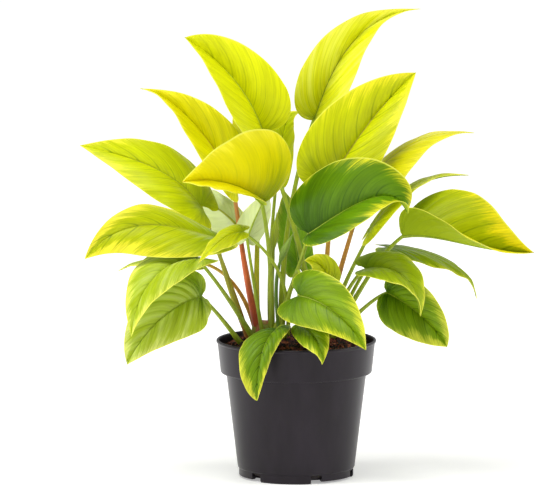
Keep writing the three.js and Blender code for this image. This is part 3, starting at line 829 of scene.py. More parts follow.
LEAVES = (
    Leaf(
        "top_right",
        ((16, 44, 310), (28, 34, 346), (46, 46, 402), (110, 72, 404)),
        (-24, -20, 14), (17, -22, -8),
        ((-12, 10, 120), (-16, 10, 180), (-4, 26, 260)), (3.2, 1.7),
        Tissue.CITRON, Skin.GREEN, tail=0.8, heart=0.1,
    ),
    Leaf(
        "upper_right",
        ((28, 9, 257), (47, 2, 288), (66, 12, 320), (105, 34, 352)),
        (-34, -4, 22), (25, -20, -12),
        ((20, 6, 120), (24, 6, 170), (32, 6, 220)), (3.4, 1.7),
        Tissue.LIME_FOLD, Skin.ORANGE, belly=4, heart=0.6, quilt=0.5, tail=-0.35,
    ),
    Leaf(
        "top_left",
        ((-29, 14, 302), (-37, 10, 326), (-53, 25, 356), (-98, 42, 382)),
        (-16, -34, -8), (29, -6, 19),
        ((16, 0, 120), (12, -2, 190), (-12, 4, 250)), (3.4, 1.7),
        Tissue.LIME, Skin.GREEN, belly=4, heart=0.15, tail=-0.6,
    ),
    Leaf(
        "upper_left",
        ((-56, 10, 262), (-68, 2, 284), (-100, 14, 334), (-137, 26, 339)),
        (-11, -30, -5), (20, -4, 18),
        ((-30, -3, 120), (-42, 0, 150), (-50, 6, 220)), (3.6, 1.7),
        Tissue.GOLD, Skin.RED, tail=0.8,
    ),
    Leaf(
        "mid_left_high",
        ((-84, 26, 235), (-105, 18, 268), (-144, 22, 280), (-190, 32, 288)),
        (-10, -24, -18), (10, 16, 17),
        ((-42, 4, 120), (-54, 10, 160), (-72, 22, 205)), (2.8, 1.6),
        Tissue.SPRING, Skin.OLIVE, belly=4, twist=40,
    ),
    Leaf(
        "mid_left",
        ((-70, -20, 213), (-104, -38, 226), (-150, -50, 244), (-184, -60, 200)),
        (-3, -24, -22), (-2, 22, 9),
        ((-40, -6, 120), (-54, -8, 150), (-66, -10, 190)), (2.8, 1.6),
        Tissue.ARCHED, Skin.OLIVE, belly=4, twist=95, tail=-0.4,
    ),
    Leaf(
        "front_left",
        ((-30, -25, 244), (-42, -45, 262), (-71, -80, 276), (-99, -110, 274)),
        (-5, -34, 2), (27, 6, 50),
        ((-22, -8, 120), (-20, -10, 170), (-24, -14, 215)), (3.2, 1.7),
        Tissue.GOLD_GREEN, Skin.GREEN, belly=5, ripple=0.8, tail=-0.2, heart=0.25,
    ),
    Leaf(
        "curled_top",
        ((-17, 44, 259), (-12, 50, 289), (-13, 54, 315), (4, 56, 314)),
        (-12, 4, -3), (11, 4, -5),
        ((-22, 8, 120), (-26, 14, 175), (-20, 30, 230)), (2.4, 1.4),
        Tissue.SPRING, Skin.GREEN, belly=2,
    ),
    Leaf(
        "front_centre",
        ((11, -35, 219), (42, -52, 242), (84, -76, 278), (96, -82, 242)),
        (-18, 16, 36), (6, -28, -13),
        ((-22, -14, 120), (-12, -14, 150), (4, -26, 190)), (3.0, 1.7),
        Tissue.MATURE, Skin.GREEN, belly=5, heart=0.5,
    ),
    Leaf(
        "mid_right_high",
        ((60, 12, 256), (77, 10, 280), (112, 14, 306), (156, 22, 300)),
        (-2, 38, -6), (6, -34, -24),
        ((24, 2, 120), (30, 4, 160), (50, 10, 215)), (3.2, 1.6),
        Tissue.GOLD, Skin.AMBER, tail=0.8,
    ),
    Leaf(
        "mid_right_thin",
        ((66, 0, 218), (82, 2, 244), (108, 6, 268), (151, 12, 264)),
        (0, 24, -4), (2, -24, -6),
        ((28, 6, 120), (34, 4, 160), (56, 0, 196)), (2.6, 1.5),
        Tissue.SPRING, Skin.GREEN, tail=0.6,
    ),
    Leaf(
        "mid_right",
        ((93, -15, 214), (125, -20, 220), (160, -30, 200), (207, -40, 203)),
        (18, 20, 39), (-3, -24, 24),
        ((26, -6, 120), (50, -11, 150), (67, -13, 195)), (3.0, 1.6),
        Tissue.BROAD, Skin.GREEN, belly=4, twist=-80, tail=-0.3, heart=0.1,
    ),
    Leaf(
        "low_right_twisted",
        ((80, 14, 200), (110, 14, 200), (156, 16, 184), (158, 18, 154)),
        (2, 20, -3), (1, -18, -8),
        ((30, 0, 120), (44, 6, 150), (60, 12, 190)), (2.4, 1.4),
        Tissue.HEART, Skin.GREEN, belly=2, ripple=1, tail=0.4,
    ),
    Leaf(
        "heart_front",
        ((2, -60, 168), (17, -75, 169), (46, -95, 155), (60, -105, 127)),
        (15, -8, 22), (-17, 0, -21),
        ((-16, -14, 120), (-6, -20, 170), (6, -44, 214)), (2.6, 1.5),
        Tissue.LEAFGREEN, Skin.GREEN, belly=4, tail=-0.2,
    ),
    Leaf(
        "low_right",
        ((79, -35, 167), (92, -42, 162), (119, -55, 145), (131, -60, 123)),
        (12, -5, 20), (-12, -8, -22),
        ((26, -12, 120), (40, -16, 130), (62, -28, 160)), (2.6, 1.5),
        Tissue.SHADE, Skin.GREEN, belly=4, heart=0.5, quilt=0.6, tail=-0.6,
    ),
    Leaf(
        "low_right_front",
        ((61, -45, 189), (84, -55, 197), (106, -70, 183), (107, -76, 152)),
        (5, 22, 12), (-6, -28, -6),
        ((22, -12, 120), (36, -20, 150), (50, -32, 184)), (2.6, 1.5),
        Tissue.HEART, Skin.GREEN,
    ),
    Leaf(
        "pot_front_left",
        ((-17, -54, 137), (-30, -80, 136), (-36, -92, 102), (-34, -88, 80)),
        (16, 7, 4), (-20, 5, -2),
        ((-12, -20, 120), (-6, -30, 138), (-12, -44, 142)), (2.2, 1.3),
        Tissue.RIMMED, Skin.GREEN, quilt=0.6, tail=-0.5, heart=0.5,
    ),
    Leaf(
        "pot_front_right",
        ((5, -47, 140), (12, -66, 138), (23, -82, 129), (22, -84, 111)),
        (12, 5, 9), (-9, -10, -8),
        ((2, -22, 120), (3, -32, 136), (4, -42, 141)), (2.0, 1.3),
        Tissue.LEAFGREEN, Skin.GREEN, belly=2, tail=0.2,
    ),
    Leaf(
        "low_left",
        ((-84, -40, 195), (-112, -56, 203), (-139, -76, 182), (-143, -82, 135)),
        (10, -24, -8), (-8, 30, 5),
        ((-36, -10, 120), (-52, -18, 150), (-72, -30, 180)), (2.8, 1.5),
        Tissue.RIBBED, Skin.GREEN, belly=4, twist=60, quilt=0.7,
    ),
    Leaf(
        "lowest_left",
        ((-83, -40, 164), (-102, -46, 162), (-131, -58, 142), (-147, -64, 108)),
        (16, -14, -22), (-13, 12, 24),
        ((-44, -16, 114), (-56, -22, 130), (-70, -34, 152)), (2.8, 1.5),
        Tissue.STRONG_RIBS_PAINTED_SHEEN, Skin.GREEN, belly=4, heart=0.5, quilt=1, tail=-0.5,
    ),
    Leaf(
        "behind_left",
        ((-88, 22, 186), (-104, 24, 190), (-134, 28, 190), (-156, 30, 177)),
        (0, -24, -5), (0, 24, -5),
        ((-34, 10, 120), (-44, 16, 165), (-66, 20, 184)), (2.4, 1.4),
        Tissue.RIBBED, Skin.ORANGE, belly=2,
    ),
    Leaf(
        "small_left",
        ((-47, -54, 223), (-58, -60, 225), (-72, -68, 213), (-85, -74, 198)),
        (2, -12, -8), (-2, 14, 5),
        ((-8, -12, 120), (-2, -22, 178), (-24, -40, 206)), (2.0, 1.3),
        Tissue.SPRING, Skin.GREEN, belly=2,
    ),
    Leaf(
        "small_centre",
        ((29, -35, 176), (26, -40, 189), (17, -46, 200), (7, -48, 197)),
        (-9, -4, -9), (8, -2, 10),
        ((16, -10, 120), (18, -16, 150), (26, -26, 170)), (2.0, 1.3),
        Tissue.SPRING, Skin.GREEN, belly=2,
    ),
    Leaf(
        "back_left",
        ((-53, 22, 220), (-66, 38, 232), (-88, 62, 243), (-112, 84, 238)),
        (4, 4, 12), (-4, 8, -22),
        ((-32, 12, 120), (-40, 14, 160), (-46, 14, 200)), (2.4, 1.4),
        Tissue.PALE, Skin.OLIVE,
    ),
    Leaf(
        "back_centre",
        ((-43, -6, 210), (-38, -4, 226), (-30, 0, 240), (-24, 4, 252)),
        (13, 4, -2), (-13, 4, 2),
        ((-28, -12, 120), (-34, -10, 150), (-40, -8, 190)), (2.0, 1.3),
        Tissue.PALE, Skin.GREEN, belly=2,
    ),
    Leaf(
        "back_right",
        ((2, 28, 181), (-1, 40, 205), (-7, 64, 225), (-10, 88, 240)),
        (-15, 2, -2), (15, 2, -2),
        ((-14, 8, 120), (-10, 16, 150), (-2, 24, 170)), (2.4, 1.4),
        Tissue.DEEP, Skin.GREEN,
    ),
    Leaf(
        "back_high",
        ((-37, 24, 275), (-38, 36, 315), (-42, 64, 345), (-50, 92, 348)),
        (-17, 3, 0), (17, 3, 0),
        ((-33, 4, 120), (-38, 4, 170), (-30, 12, 235)), (3.2, 1.7),
        Tissue.GOLD, Skin.LEMON,
    ),
)


def blade_tree() -> bpy.types.NodeTree:
    """Geometry Nodes that raise a blade between its veins, wave its margin and give it its thickness."""
    tree, given = new_tree(
        "Leaf blade",
        [
            ("Quilt", "NodeSocketFloat", 0.35 * MM),
            ("Crease", "NodeSocketFloat", 0.5 * MM),
            ("Ripple", "NodeSocketFloat", 0.5 * MM),
            ("Waves", "NodeSocketFloat", 3.0),
            ("Thickness", "NodeSocketFloat", 0.5 * MM),
            ("Material", "NodeSocketMaterial", None),
        ],
    )
    along, across, vein, sort = (
        add(tree, "GeometryNodeInputNamedAttribute", {"Name": fact}, data_type="FLOAT") for fact in FACTS
    )
    normal = add(tree, "GeometryNodeInputNormal")

    # Between two veins the blade stands up as a pillow, highest a third of the way to the margin.
    swing = add(tree, "ShaderNodeMath", {0: vein, 1: math.pi}, operation="MULTIPLY")
    wave = add(tree, "ShaderNodeMath", {0: swing}, operation="SINE")
    wave = add(tree, "ShaderNodeMath", {0: wave}, operation="ABSOLUTE")
    pillow = add(tree, "ShaderNodeMath", {0: wave, 1: 0.7}, operation="POWER")
    rise = add(tree, "ShaderNodeMapRange", {0: across, 1: 0.0, 2: 0.3}, interpolation_type="SMOOTHSTEP")
    fall = add(
        tree, "ShaderNodeMapRange", {0: across, 1: 0.45, 2: 1.0, 3: 1.0, 4: 0.0}, interpolation_type="SMOOTHSTEP"
    )
    band = add(tree, "ShaderNodeMath", {0: rise, 1: fall}, operation="MULTIPLY")
    tip = add(tree, "ShaderNodeMapRange", {0: along, 1: 0.6, 2: 1.0, 3: 1.0, 4: 0.0})
    band = add(tree, "ShaderNodeMath", {0: band, 1: tip}, operation="MULTIPLY")
    height = add(tree, "ShaderNodeMath", {0: pillow, 1: band}, operation="MULTIPLY")
    height = add(tree, "ShaderNodeMath", {0: height, 1: given.outputs["Quilt"]}, operation="MULTIPLY")

    # The midrib lies in a crease of the upper side.
    sink = add(
        tree, "ShaderNodeMapRange", {0: across, 1: 0.0, 2: 0.09, 3: 1.0, 4: 0.0}, interpolation_type="SMOOTHSTEP"
    )
    sink = add(tree, "ShaderNodeMath", {0: sink, 1: given.outputs["Crease"]}, operation="MULTIPLY")
    height = add(tree, "ShaderNodeMath", {0: height, 1: sink}, operation="SUBTRACT")

    # The margin waves gently, in another phase on each half.
    turns = add(tree, "ShaderNodeMath", {0: along, 1: given.outputs["Waves"]}, operation="MULTIPLY")
    phase = add(tree, "ShaderNodeMath", {0: turns, 1: 2 * math.pi, 2: sort}, operation="MULTIPLY_ADD")
    beat = add(tree, "ShaderNodeMath", {0: phase}, operation="SINE")
    edge = add(tree, "ShaderNodeMath", {0: across, 1: 3.0}, operation="POWER")
    edge = add(tree, "ShaderNodeMath", {0: edge, 1: tip}, operation="MULTIPLY")
    beat = add(tree, "ShaderNodeMath", {0: beat, 1: edge}, operation="MULTIPLY")
    height = add(tree, "ShaderNodeMath", {0: beat, 1: given.outputs["Ripple"], 2: height}, operation="MULTIPLY_ADD")
    lift = add(tree, "ShaderNodeVectorMath", {0: normal, "Scale": height}, operation="SCALE")
    relief = add(tree, "GeometryNodeSetPosition", {"Geometry": given, "Offset": lift})

    # The lower side keeps its place and the upper side is pushed out from it.
    upper = add(
        tree,
        "GeometryNodeExtrudeMesh",
        {"Mesh": relief, "Offset Scale": given.outputs["Thickness"], "Individual": False},
        mode="FACES",
    )
    lower = add(tree, "GeometryNodeFlipFaces", {0: relief})
    both = add(tree, "GeometryNodeJoinGeometry")
    for skin, share in ((upper, 0.0), (lower, 1.0)):
        told = {"Geometry": skin, "Name": "underside", "Value": share}
        marked = add(tree, "GeometryNodeStoreNamedAttribute", told, data_type="FLOAT", domain="FACE")
        feed(tree, both, {0: marked})
    closed = add(tree, "GeometryNodeMergeByDistance", {0: both, "Distance": WELD * MM})
    close_tree(tree, closed, given.outputs["Material"])
    return tree


def stem_tree() -> bpy.types.NodeTree:
    """Geometry Nodes that grow a tapering stem along a curve, and store how far along each place is."""
    tree, given = new_tree(
        "Stem",
        [
            ("Foot radius", "NodeSocketFloat", 3.0 * MM),
            ("Top radius", "NodeSocketFloat", 1.5 * MM),
            ("Taper", "NodeSocketFloat", 1.6),
            ("Sides", "NodeSocketInt", 14),
            ("From", "NodeSocketFloat", 0.0),
            ("To", "NodeSocketFloat", 1.0),
            ("Material", "NodeSocketMaterial", None),
        ],
    )
    factor = add(tree, "GeometryNodeSplineParameter").outputs["Factor"]
    left = add(tree, "ShaderNodeMath", {0: 1.0, 1: factor}, operation="SUBTRACT")
    taper = add(tree, "ShaderNodeMath", {0: left, 1: given.outputs["Taper"]}, operation="POWER")
    radius = add(
        tree, "ShaderNodeMapRange", {0: taper, 3: given.outputs["Top radius"], 4: given.outputs["Foot radius"]}
    )
    along = add(tree, "ShaderNodeMapRange", {0: factor, 3: given.outputs["From"], 4: given.outputs["To"]})
    marked = add(
        tree,
        "GeometryNodeStoreNamedAttribute",
        {"Geometry": given, "Name": "along", "Value": along},
        data_type="FLOAT",
        domain="POINT",
    )
    ring = add(tree, "GeometryNodeCurvePrimitiveCircle", {"Resolution": given.outputs["Sides"], "Radius": 1.0})
    stem = add(
        tree, "GeometryNodeCurveToMesh", {"Curve": marked, "Profile Curve": ring, "Scale": radius, "Fill Caps": True}
    )
    close_tree(tree, stem, given.outputs["Material"])
    return tree


def grow_stem(name: str, path: np.ndarray, tree: bpy.types.NodeTree, values: dict[str, object]) -> bpy.types.Object:
    """Grows a stem along a path.

    Args:
        name: the object's name.
        path: the path's points in millimetres.
        tree: the stem tree.
        values: the tree's inputs by name.

    Returns:
        The stem as a plain mesh object.
    """
    curve = bpy.data.curves.new(name, "CURVE")
    curve.dimensions = "3D"
    line = curve.splines.new("POLY")
    line.points.add(len(path) - 1)
    for point, place in zip(line.points, path * MM):
        point.co = (*place, 1.0)
    thing = stand(name, curve)
    run_tree(thing, tree, values)
    plain = freeze(thing)
    smooth(plain, 60)
    return plain


def join(name: str, parts: list[bpy.types.Object]) -> bpy.types.Object:
    """Joins plain mesh objects that share one material into a new object."""
    work = bmesh.new()
    for part in parts:
        work.from_mesh(part.data)
    mesh = bpy.data.meshes.new(name)
    work.to_mesh(mesh)
    work.free()
    for material in parts[0].data.materials:
        mesh.materials.append(material)
    for part in parts:
        bpy.data.objects.remove(part)
    return stand(name, mesh)


@dataclass
class Foliage:
    """All the leaves with their stalks, and the two rolled young leaves.

    Attributes:
        rule: how a blade is drawn.
        thickness: the blades' thickness.
        crease: depth of the crease over the midrib.
        ridge: radius of the midrib under the blade, as a share of the stalk's.
        ridge_tip: radius of the midrib near the tip.
        ridge_drop: how far under the crease the midrib's middle lies.
        joint: share of the stalk's colours that is used up where the blade starts.
    """

    rule: BladeRule = field(default_factory=BladeRule)
    thickness: float = 0.5
    crease: float = 0.45
    ridge: float = 0.75
    ridge_tip: float = 0.25
    ridge_drop: float = 0.3
    joint: float = 0.9

    def build(self) -> None:
        """Builds and dresses every leaf."""
        blades, stems = blade_tree(), stem_tree()
        tissues = {tissue: tissue.value.material() for tissue in Tissue}
        skins = {skin: skin.value.material() for skin in Skin}
        for number, leaf in enumerate(LEAVES):
            self.blade(leaf, number, blades, tissues[leaf.tissue])
            self.stalk(leaf, stems, skins[leaf.skin])
        for spear in SPEARS:
            spear.build(skins[spear.skin])

    def blade(self, leaf: Leaf, number: int, tree: bpy.types.NodeTree, material: bpy.types.Material) -> None:
        """Builds one blade."""
        thing = leaf.sheet(self.rule, number)
        run_tree(
            thing,
            tree,
            {
                "Quilt": leaf.quilt * MM,
                "Crease": self.crease * MM,
                "Ripple": leaf.ripple * MM,
                "Thickness": self.thickness * MM,
                "Material": material,
            },
        )
        thing = freeze(thing)
        smooth(thing, 70)
        settle(thing, "leaf_blade", f"blade_{leaf.name}")

    def stalk(self, leaf: Leaf, tree: bpy.types.NodeTree, material: bpy.types.Material) -> None:
        """Builds one stalk and the midrib that carries it on under the blade."""
        foot, top = leaf.radii
        stem = grow_stem(
            f"stem_{leaf.name}",
            leaf.stalk_path(self.rule),
            tree,
            {"Foot radius": foot * MM, "Top radius": top * MM, "To": self.joint, "Material": material},
        )
        ridge = grow_stem(
            f"ridge_{leaf.name}",
            leaf.midrib(self.rule, self.crease + self.ridge_drop),
            tree,
            {
                "Foot radius": top * self.ridge * MM,
                "Top radius": self.ridge_tip * MM,
                "Taper": 1.0,
                "Sides": 10,
                "From": self.joint,
                "Material": material,
            },
        )
        settle(join(f"petiole_{leaf.name}", [stem, ridge]), "leaf_stalk", f"stalk_{leaf.name}")


@dataclass(frozen=True)
class Spear:
    """A young leaf that is still rolled up: a thin stalk that swells into a roll with a lapped edge.

    Attributes:
        name: the piece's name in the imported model.
        path: the path from crown to tip, as a Bezier curve.
        skin: its finish.
        stem: radius of the stalk.
        roll: radius of the roll at its thickest.
        tip: radius at the tip.
        start: how far along the roll begins.
        lap: step of the lapped edge, as a share of the radius.
        turns: how far the edge winds round the roll.
        sides: points round the spear.
        rings: rings of points along it.
    """

    name: str
    path: tuple[Point, Point, Point, Point]
    skin: Skin
    stem: float = 1.6
    roll: float = 3.6
    tip: float = 0.4
    start: float = 0.6
    lap: float = 0.22
    turns: float = 0.7
    sides: int = 28
    rings: int = 60

    def radius(self, t: float) -> float:
        """The spear's radius at a share of its length."""
        if t < self.start:
            return self.stem
        swell = math.sin(math.pi * (1 - t) / (1 - self.start)) ** 2
        return max(self.tip + (self.roll - self.tip) * swell, self.stem * (1 - t) / (1 - self.start))

    def build(self, material: bpy.types.Material) -> None:
        """Builds the spear."""
        t = np.linspace(0, 1, self.rings)
        path = np.array(self.path, float)
        centres = bezier(path, t)
        ahead = tangent(path, t)
        side = np.cross(ahead, [0.0, 1.0, 0.0])
        side /= np.linalg.norm(side, axis=1, keepdims=True)
        out = np.cross(side, ahead)
        points, faces, along = [], [], []
        for i, share in enumerate(t):
            rolled = min(max((share - self.start) / 0.15, 0.0), 1.0)
            for k in range(self.sides):
                turn = k / (self.sides - 1)
                angle = 2 * math.pi * (turn * (self.sides - 1) / self.sides + self.turns * share)
                radius = self.radius(share) * (1 - rolled * self.lap * (1 - turn))
                points.append(centres[i] + radius * (math.cos(angle) * side[i] + math.sin(angle) * out[i]))
                along.append(share)
        for i in range(self.rings - 1):
            for k in range(self.sides):
                a, b = i * self.sides + k, i * self.sides + (k + 1) % self.sides
                faces.append([a, b, b + self.sides, a + self.sides])
        faces.append(list(range(self.sides))[::-1])
        faces.append([(self.rings - 1) * self.sides + k for k in range(self.sides)])
        thing = mesh_object(f"rolled_{self.name}", np.array(points), faces)
        thing.data.attributes.new("along", "FLOAT", "POINT").data.foreach_set("value", along)
        work = bmesh.new()
        work.from_mesh(thing.data)
        bmesh.ops.recalc_face_normals(work, faces=work.faces)
        work.to_mesh(thing.data)
        work.free()
        thing.data.materials.append(material)
        smooth(thing, 50)
        settle(thing, "young_leaf", self.name)


SPEARS = (
    Spear("young_spear_pale", ((-14, -16, 120), (-20, -18, 170), (-20, -20, 190), (-2, -26, 219)), Skin.SPEAR_PAINTED_SHADE),
    Spear("young_spear_yellow", ((-20, -2, 120), (-22, -4, 170), (-21, -8, 200), (-17, -14, 235)), Skin.SPEAR_GOLD_PAINTED_SHADE),
)


# ---- Stem bases, compost and pot ---------------------------------------------------------------


def turned(
    name: str, profile: list[tuple[float, float]], segments: int, centre: tuple[float, float] = (0, 0)
) -> bpy.types.Object:
    """Turns a profile about an upright axis into a closed mesh.

    Args:
        name: the object's name.
        profile: (radius, height) points that start and end on the axis, outside first and upwards.
        segments: how many steps the turn takes.
        centre: where the axis stands.

    Returns:
        The object.
    """
    points, faces, rings = [], [], []
    for radius, height in profile:
        if radius < ON_AXIS:
            rings.append([len(points)] * segments)
            points.append((centre[0], centre[1], height))
            continue
        rings.append([len(points) + k for k in range(segments)])
        for k in range(segments):
            angle = 2 * math.pi * k / segments
            points.append((centre[0] + radius * math.cos(angle), centre[1] + radius * math.sin(angle), height))
    for low, high in zip(rings, rings[1:]):
        for k in range(segments):
            n = (k + 1) % segments
            face = [low[k], low[n], high[n], high[k]]
            faces.append([v for i, v in enumerate(face) if v not in face[:i]])
    return mesh_object(name, np.array(points), faces)


def rounded(corners: list[tuple[float, float]], ease: list[float], steps: int = 4) -> list[tuple[float, float]]:
    """Rounds the corners of a profile.

    Args:
        corners: the profile's corners.
        ease: how far from each corner its rounding starts, or 0 to keep it sharp.
        steps: points in each rounding.

    Returns:
        The rounded profile.
    """
    made: list[tuple[float, float]] = []
    for i, (corner, size) in enumerate(zip(corners, ease)):
        if not size or i in (0, len(corners) - 1):
            made.append(corner)
            continue
        here = Vector(corner)
        before, after = Vector(corners[i - 1]) - here, Vector(corners[i + 1]) - here
        a = here + before.normalized() * min(size, before.length / 2)
        b = here + after.normalized() * min(size, after.length / 2)
        for k in range(steps + 1):
            t = k / steps
            made.append(tuple(a * (1 - t) ** 2 + here * 2 * t * (1 - t) + b * t * t))
    return made


@dataclass
class Crown:
    """A short stem base, wrapped in the sheaths of old leaves.

    Attributes:
        name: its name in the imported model.
        place: where it stands.
        radius: its widest radius.
        top: height of its top.
        bottom: height of its foot in the compost.
        sheaths: how many sheaths wrap it.
        depth: depth of the folds between them, as a share of the radius.
        lean: how far the folds wind round from foot to top, in radians.
        outline: (share of the radius, share of the height) from the foot up.
        segments: steps of the turn.
    """

    name: str
    place: tuple[float, float]
    radius: float
    top: float
    bottom: float = 112
    sheaths: int = 5
    depth: float = 0.13
    lean: float = 1.4
    outline: tuple[tuple[float, float], ...] = (
        (0.0, 0.0), (0.7, 0.0), (0.9, 0.12), (1.0, 0.32), (0.97, 0.55), (0.9, 0.8), (0.72, 0.94), (0.5, 1.0)
    )
    segments: int = 60

    def build(self) -> None:
        """Builds the stem base."""
        rise = self.top - self.bottom
        profile = [(self.radius * r, self.bottom + rise * h) for r, h in self.outline] + [(0.0, self.top + 0.6)]
        thing = turned(f"stem_base_{self.name}", profile, self.segments, self.place)
        for vertex in thing.data.vertices:
            x, y = vertex.co.x / MM - self.place[0], vertex.co.y / MM - self.place[1]
            height = (vertex.co.z / MM - self.bottom) / rise
            angle = math.atan2(y, x) + self.lean * height
            fold = abs(math.sin(angle * self.sheaths / 2)) ** 0.6
            scale = 1 - self.depth * (1 - fold)
            vertex.co.x = (self.place[0] + x * scale) * MM
            vertex.co.y = (self.place[1] + y * scale) * MM
        thing.data.materials.append(StemSheath().material(self.bottom, self.top))
        smooth(thing, 50)
        settle(thing, "crown", self.name)


@dataclass(frozen=True)
class Scrap:
    """One kind of scrap that is strewn in the compost.

    Attributes:
        density: name of the tree's input for how many lie on a square metre.
        tilt: how far one may lean out of the surface, in radians.
        cuts: vertices of its block in each direction.
        grain: size of its unevenness, in millimetres.
        push: how far that unevenness moves its corners, in millimetres.
        shade: scale and offset of its shade.
    """

    density: str
    tilt: float
    cuts: tuple[int, int, int]
    grain: float
    push: float
    shade: tuple[float, float]


CHIP = Scrap("Chips per square metre", 0.9, (3, 3, 2), 1.7, 3.2, (1.0, 0.0))
FIBRE = Scrap("Fibres per square metre", 0.5, (5, 2, 2), 9.0, 7.0, (0.5, 0.5))


def chip_tree() -> bpy.types.NodeTree:
    """Geometry Nodes that strew bark chips and short fibres over a surface."""
    tree, given = new_tree(
        "Bark compost",
        [
            ("Chips per square metre", "NodeSocketFloat", 150000.0),
            ("Smallest chip", "NodeSocketVector", (1.6 * MM, 1.0 * MM, 0.5 * MM)),
            ("Largest chip", "NodeSocketVector", (7.0 * MM, 4.0 * MM, 2.2 * MM)),
            ("Fibres per square metre", "NodeSocketFloat", 16000.0),
            ("Fibre", "NodeSocketVector", (9.0 * MM, 0.35 * MM, 0.35 * MM)),
            ("Strewn radius", "NodeSocketFloat", 64.0 * MM),
            ("Wall radius", "NodeSocketFloat", 65.8 * MM),
            ("Lowest chip", "NodeSocketFloat", 112.0 * MM),
            ("Seed", "NodeSocketInt", SEED),
            ("Material", "NodeSocketMaterial", None),
        ],
    )
    wanted = given.outputs
    seed = wanted["Seed"]
    place = add(tree, "GeometryNodeInputPosition")
    flat = add(tree, "ShaderNodeVectorMath", {0: place, 1: (1.0, 1.0, 0.0)}, operation="MULTIPLY")
    off_axis = add(tree, "ShaderNodeVectorMath", {0: flat}, operation="LENGTH").outputs["Value"]
    near = add(tree, "ShaderNodeMath", {0: off_axis, 1: wanted["Strewn radius"]}, operation="LESS_THAN")
    height = add(tree, "ShaderNodeSeparateXYZ", {0: place}).outputs["Z"]
    high = add(tree, "ShaderNodeMath", {0: height, 1: wanted["Lowest chip"]}, operation="GREATER_THAN")
    inside = add(tree, "ShaderNodeMath", {0: near, 1: high}, operation="MULTIPLY")
    # What would stand in the pot's wall is pressed back against it.
    ratio = add(tree, "ShaderNodeMath", {0: wanted["Wall radius"], 1: off_axis}, operation="DIVIDE")
    ratio = add(tree, "ShaderNodeMath", {0: ratio, 1: 1.0}, operation="MINIMUM")
    pressed = add(tree, "ShaderNodeCombineXYZ", {0: ratio, 1: ratio, 2: 1.0})
    held = add(tree, "ShaderNodeVectorMath", {0: place, 1: pressed}, operation="MULTIPLY")
    heap = add(tree, "GeometryNodeJoinGeometry")
    for scrap in (CHIP, FIBRE):
        strewn = add(
            tree,
            "GeometryNodeDistributePointsOnFaces",
            {"Mesh": given, "Selection": inside, "Density": wanted[scrap.density], "Seed": seed},
        )
        lean = {0: (-scrap.tilt, -scrap.tilt, 0.0), 1: (scrap.tilt, scrap.tilt, 2 * math.pi), "Seed": seed}
        spin = add(tree, "FunctionNodeRandomValue", lean, data_type="FLOAT_VECTOR")
        turn = add(tree, "FunctionNodeEulerToRotation", {0: spin})
        facing = {0: strewn.outputs["Rotation"], 1: turn}
        facing = add(tree, "FunctionNodeRotateRotation", facing, rotation_space="LOCAL")
        cuts = dict(zip(("Vertices X", "Vertices Y", "Vertices Z"), scrap.cuts))
        block = add(tree, "GeometryNodeMeshCube", {"Size": (1.0, 1.0, 1.0), **cuts})
        size = wanted["Fibre"]
        if scrap is CHIP:
            sizes = {0: wanted["Smallest chip"], 1: wanted["Largest chip"], "Seed": seed}
            size = add(tree, "FunctionNodeRandomValue", sizes, data_type="FLOAT_VECTOR")
        laid = add(
            tree,
            "GeometryNodeInstanceOnPoints",
            {"Points": strewn.outputs["Points"], "Instance": block, "Rotation": facing, "Scale": size},
        )
        shade = add(tree, "FunctionNodeRandomValue", {2: 0.0, 3: 0.8, "Seed": seed}, data_type="FLOAT").outputs[1]
        scale, offset = scrap.shade
        shade = add(tree, "ShaderNodeMath", {0: shade, 1: scale, 2: offset}, operation="MULTIPLY_ADD")
        told = {"Geometry": laid, "Name": "chip", "Value": shade}
        shaded = add(tree, "GeometryNodeStoreNamedAttribute", told, data_type="FLOAT", domain="INSTANCE")
        real = add(tree, "GeometryNodeRealizeInstances", {0: shaded})
        # Broken bark has no straight edge: each corner is moved by a share of the chip's own thickness.
        grain = {"Vector": place, "Scale": 1 / (scrap.grain * MM), "Detail": 1.0}
        rough = add(tree, "ShaderNodeTexNoise", grain).outputs["Color"]
        push = add(tree, "ShaderNodeVectorMath", {0: rough, 1: (0.5, 0.5, 0.5)}, operation="SUBTRACT")
        push = add(tree, "ShaderNodeVectorMath", {0: push, "Scale": scrap.push * MM}, operation="SCALE")
        broken = add(tree, "GeometryNodeSetPosition", {"Geometry": real, "Offset": push})
        broken = add(tree, "GeometryNodeSetPosition", {"Geometry": broken, "Position": held})
        feed(tree, heap, {0: broken})
    feed(tree, heap, {0: given})
    close_tree(tree, heap, wanted["Material"])
    return tree


@dataclass
class Compost:
    """The compost: a low dome of bark chips and coir over a plain fill.

    Attributes:
        profile: (radius, height) of the fill from the pot's floor to the top of the dome.
        segments: steps of the turn.
        hump: height of the unevenness of the surface.
        brim: height over which the surface is uneven.
    """

    profile: tuple[tuple[float, float], ...] = (
        (0, 4.8), (46.8, 4.8), (49, 7), (59, 92), (63.9, 94.6), (66.3, 112.4),
        (62, 114), (56, 117.4), (48, 120.4), (40, 122.6), (30, 124.4), (20, 125.6), (10, 126.3), (0, 126.5),
    )
    segments: int = 96
    hump: float = 0.9
    brim: float = 113

    def build(self) -> None:
        """Builds the compost."""
        thing = turned("compost_bark", list(self.profile), self.segments)
        for vertex in thing.data.vertices:
            x, y, z = vertex.co / MM
            if z > self.brim:
                wave = math.sin(x * 0.19 + 1.3) * math.cos(y * 0.23 - 0.4) + 0.5 * math.sin(x * 0.41 - y * 0.37)
                vertex.co.z += self.hump * (wave - 0.6) * MM
        thing.data.attributes.new("chip", "FLOAT", "POINT")
        run_tree(thing, chip_tree(), {"Material": BarkCompost().material()})
        thing = freeze(thing)
        settle(thing, "bark_compost", "compost")


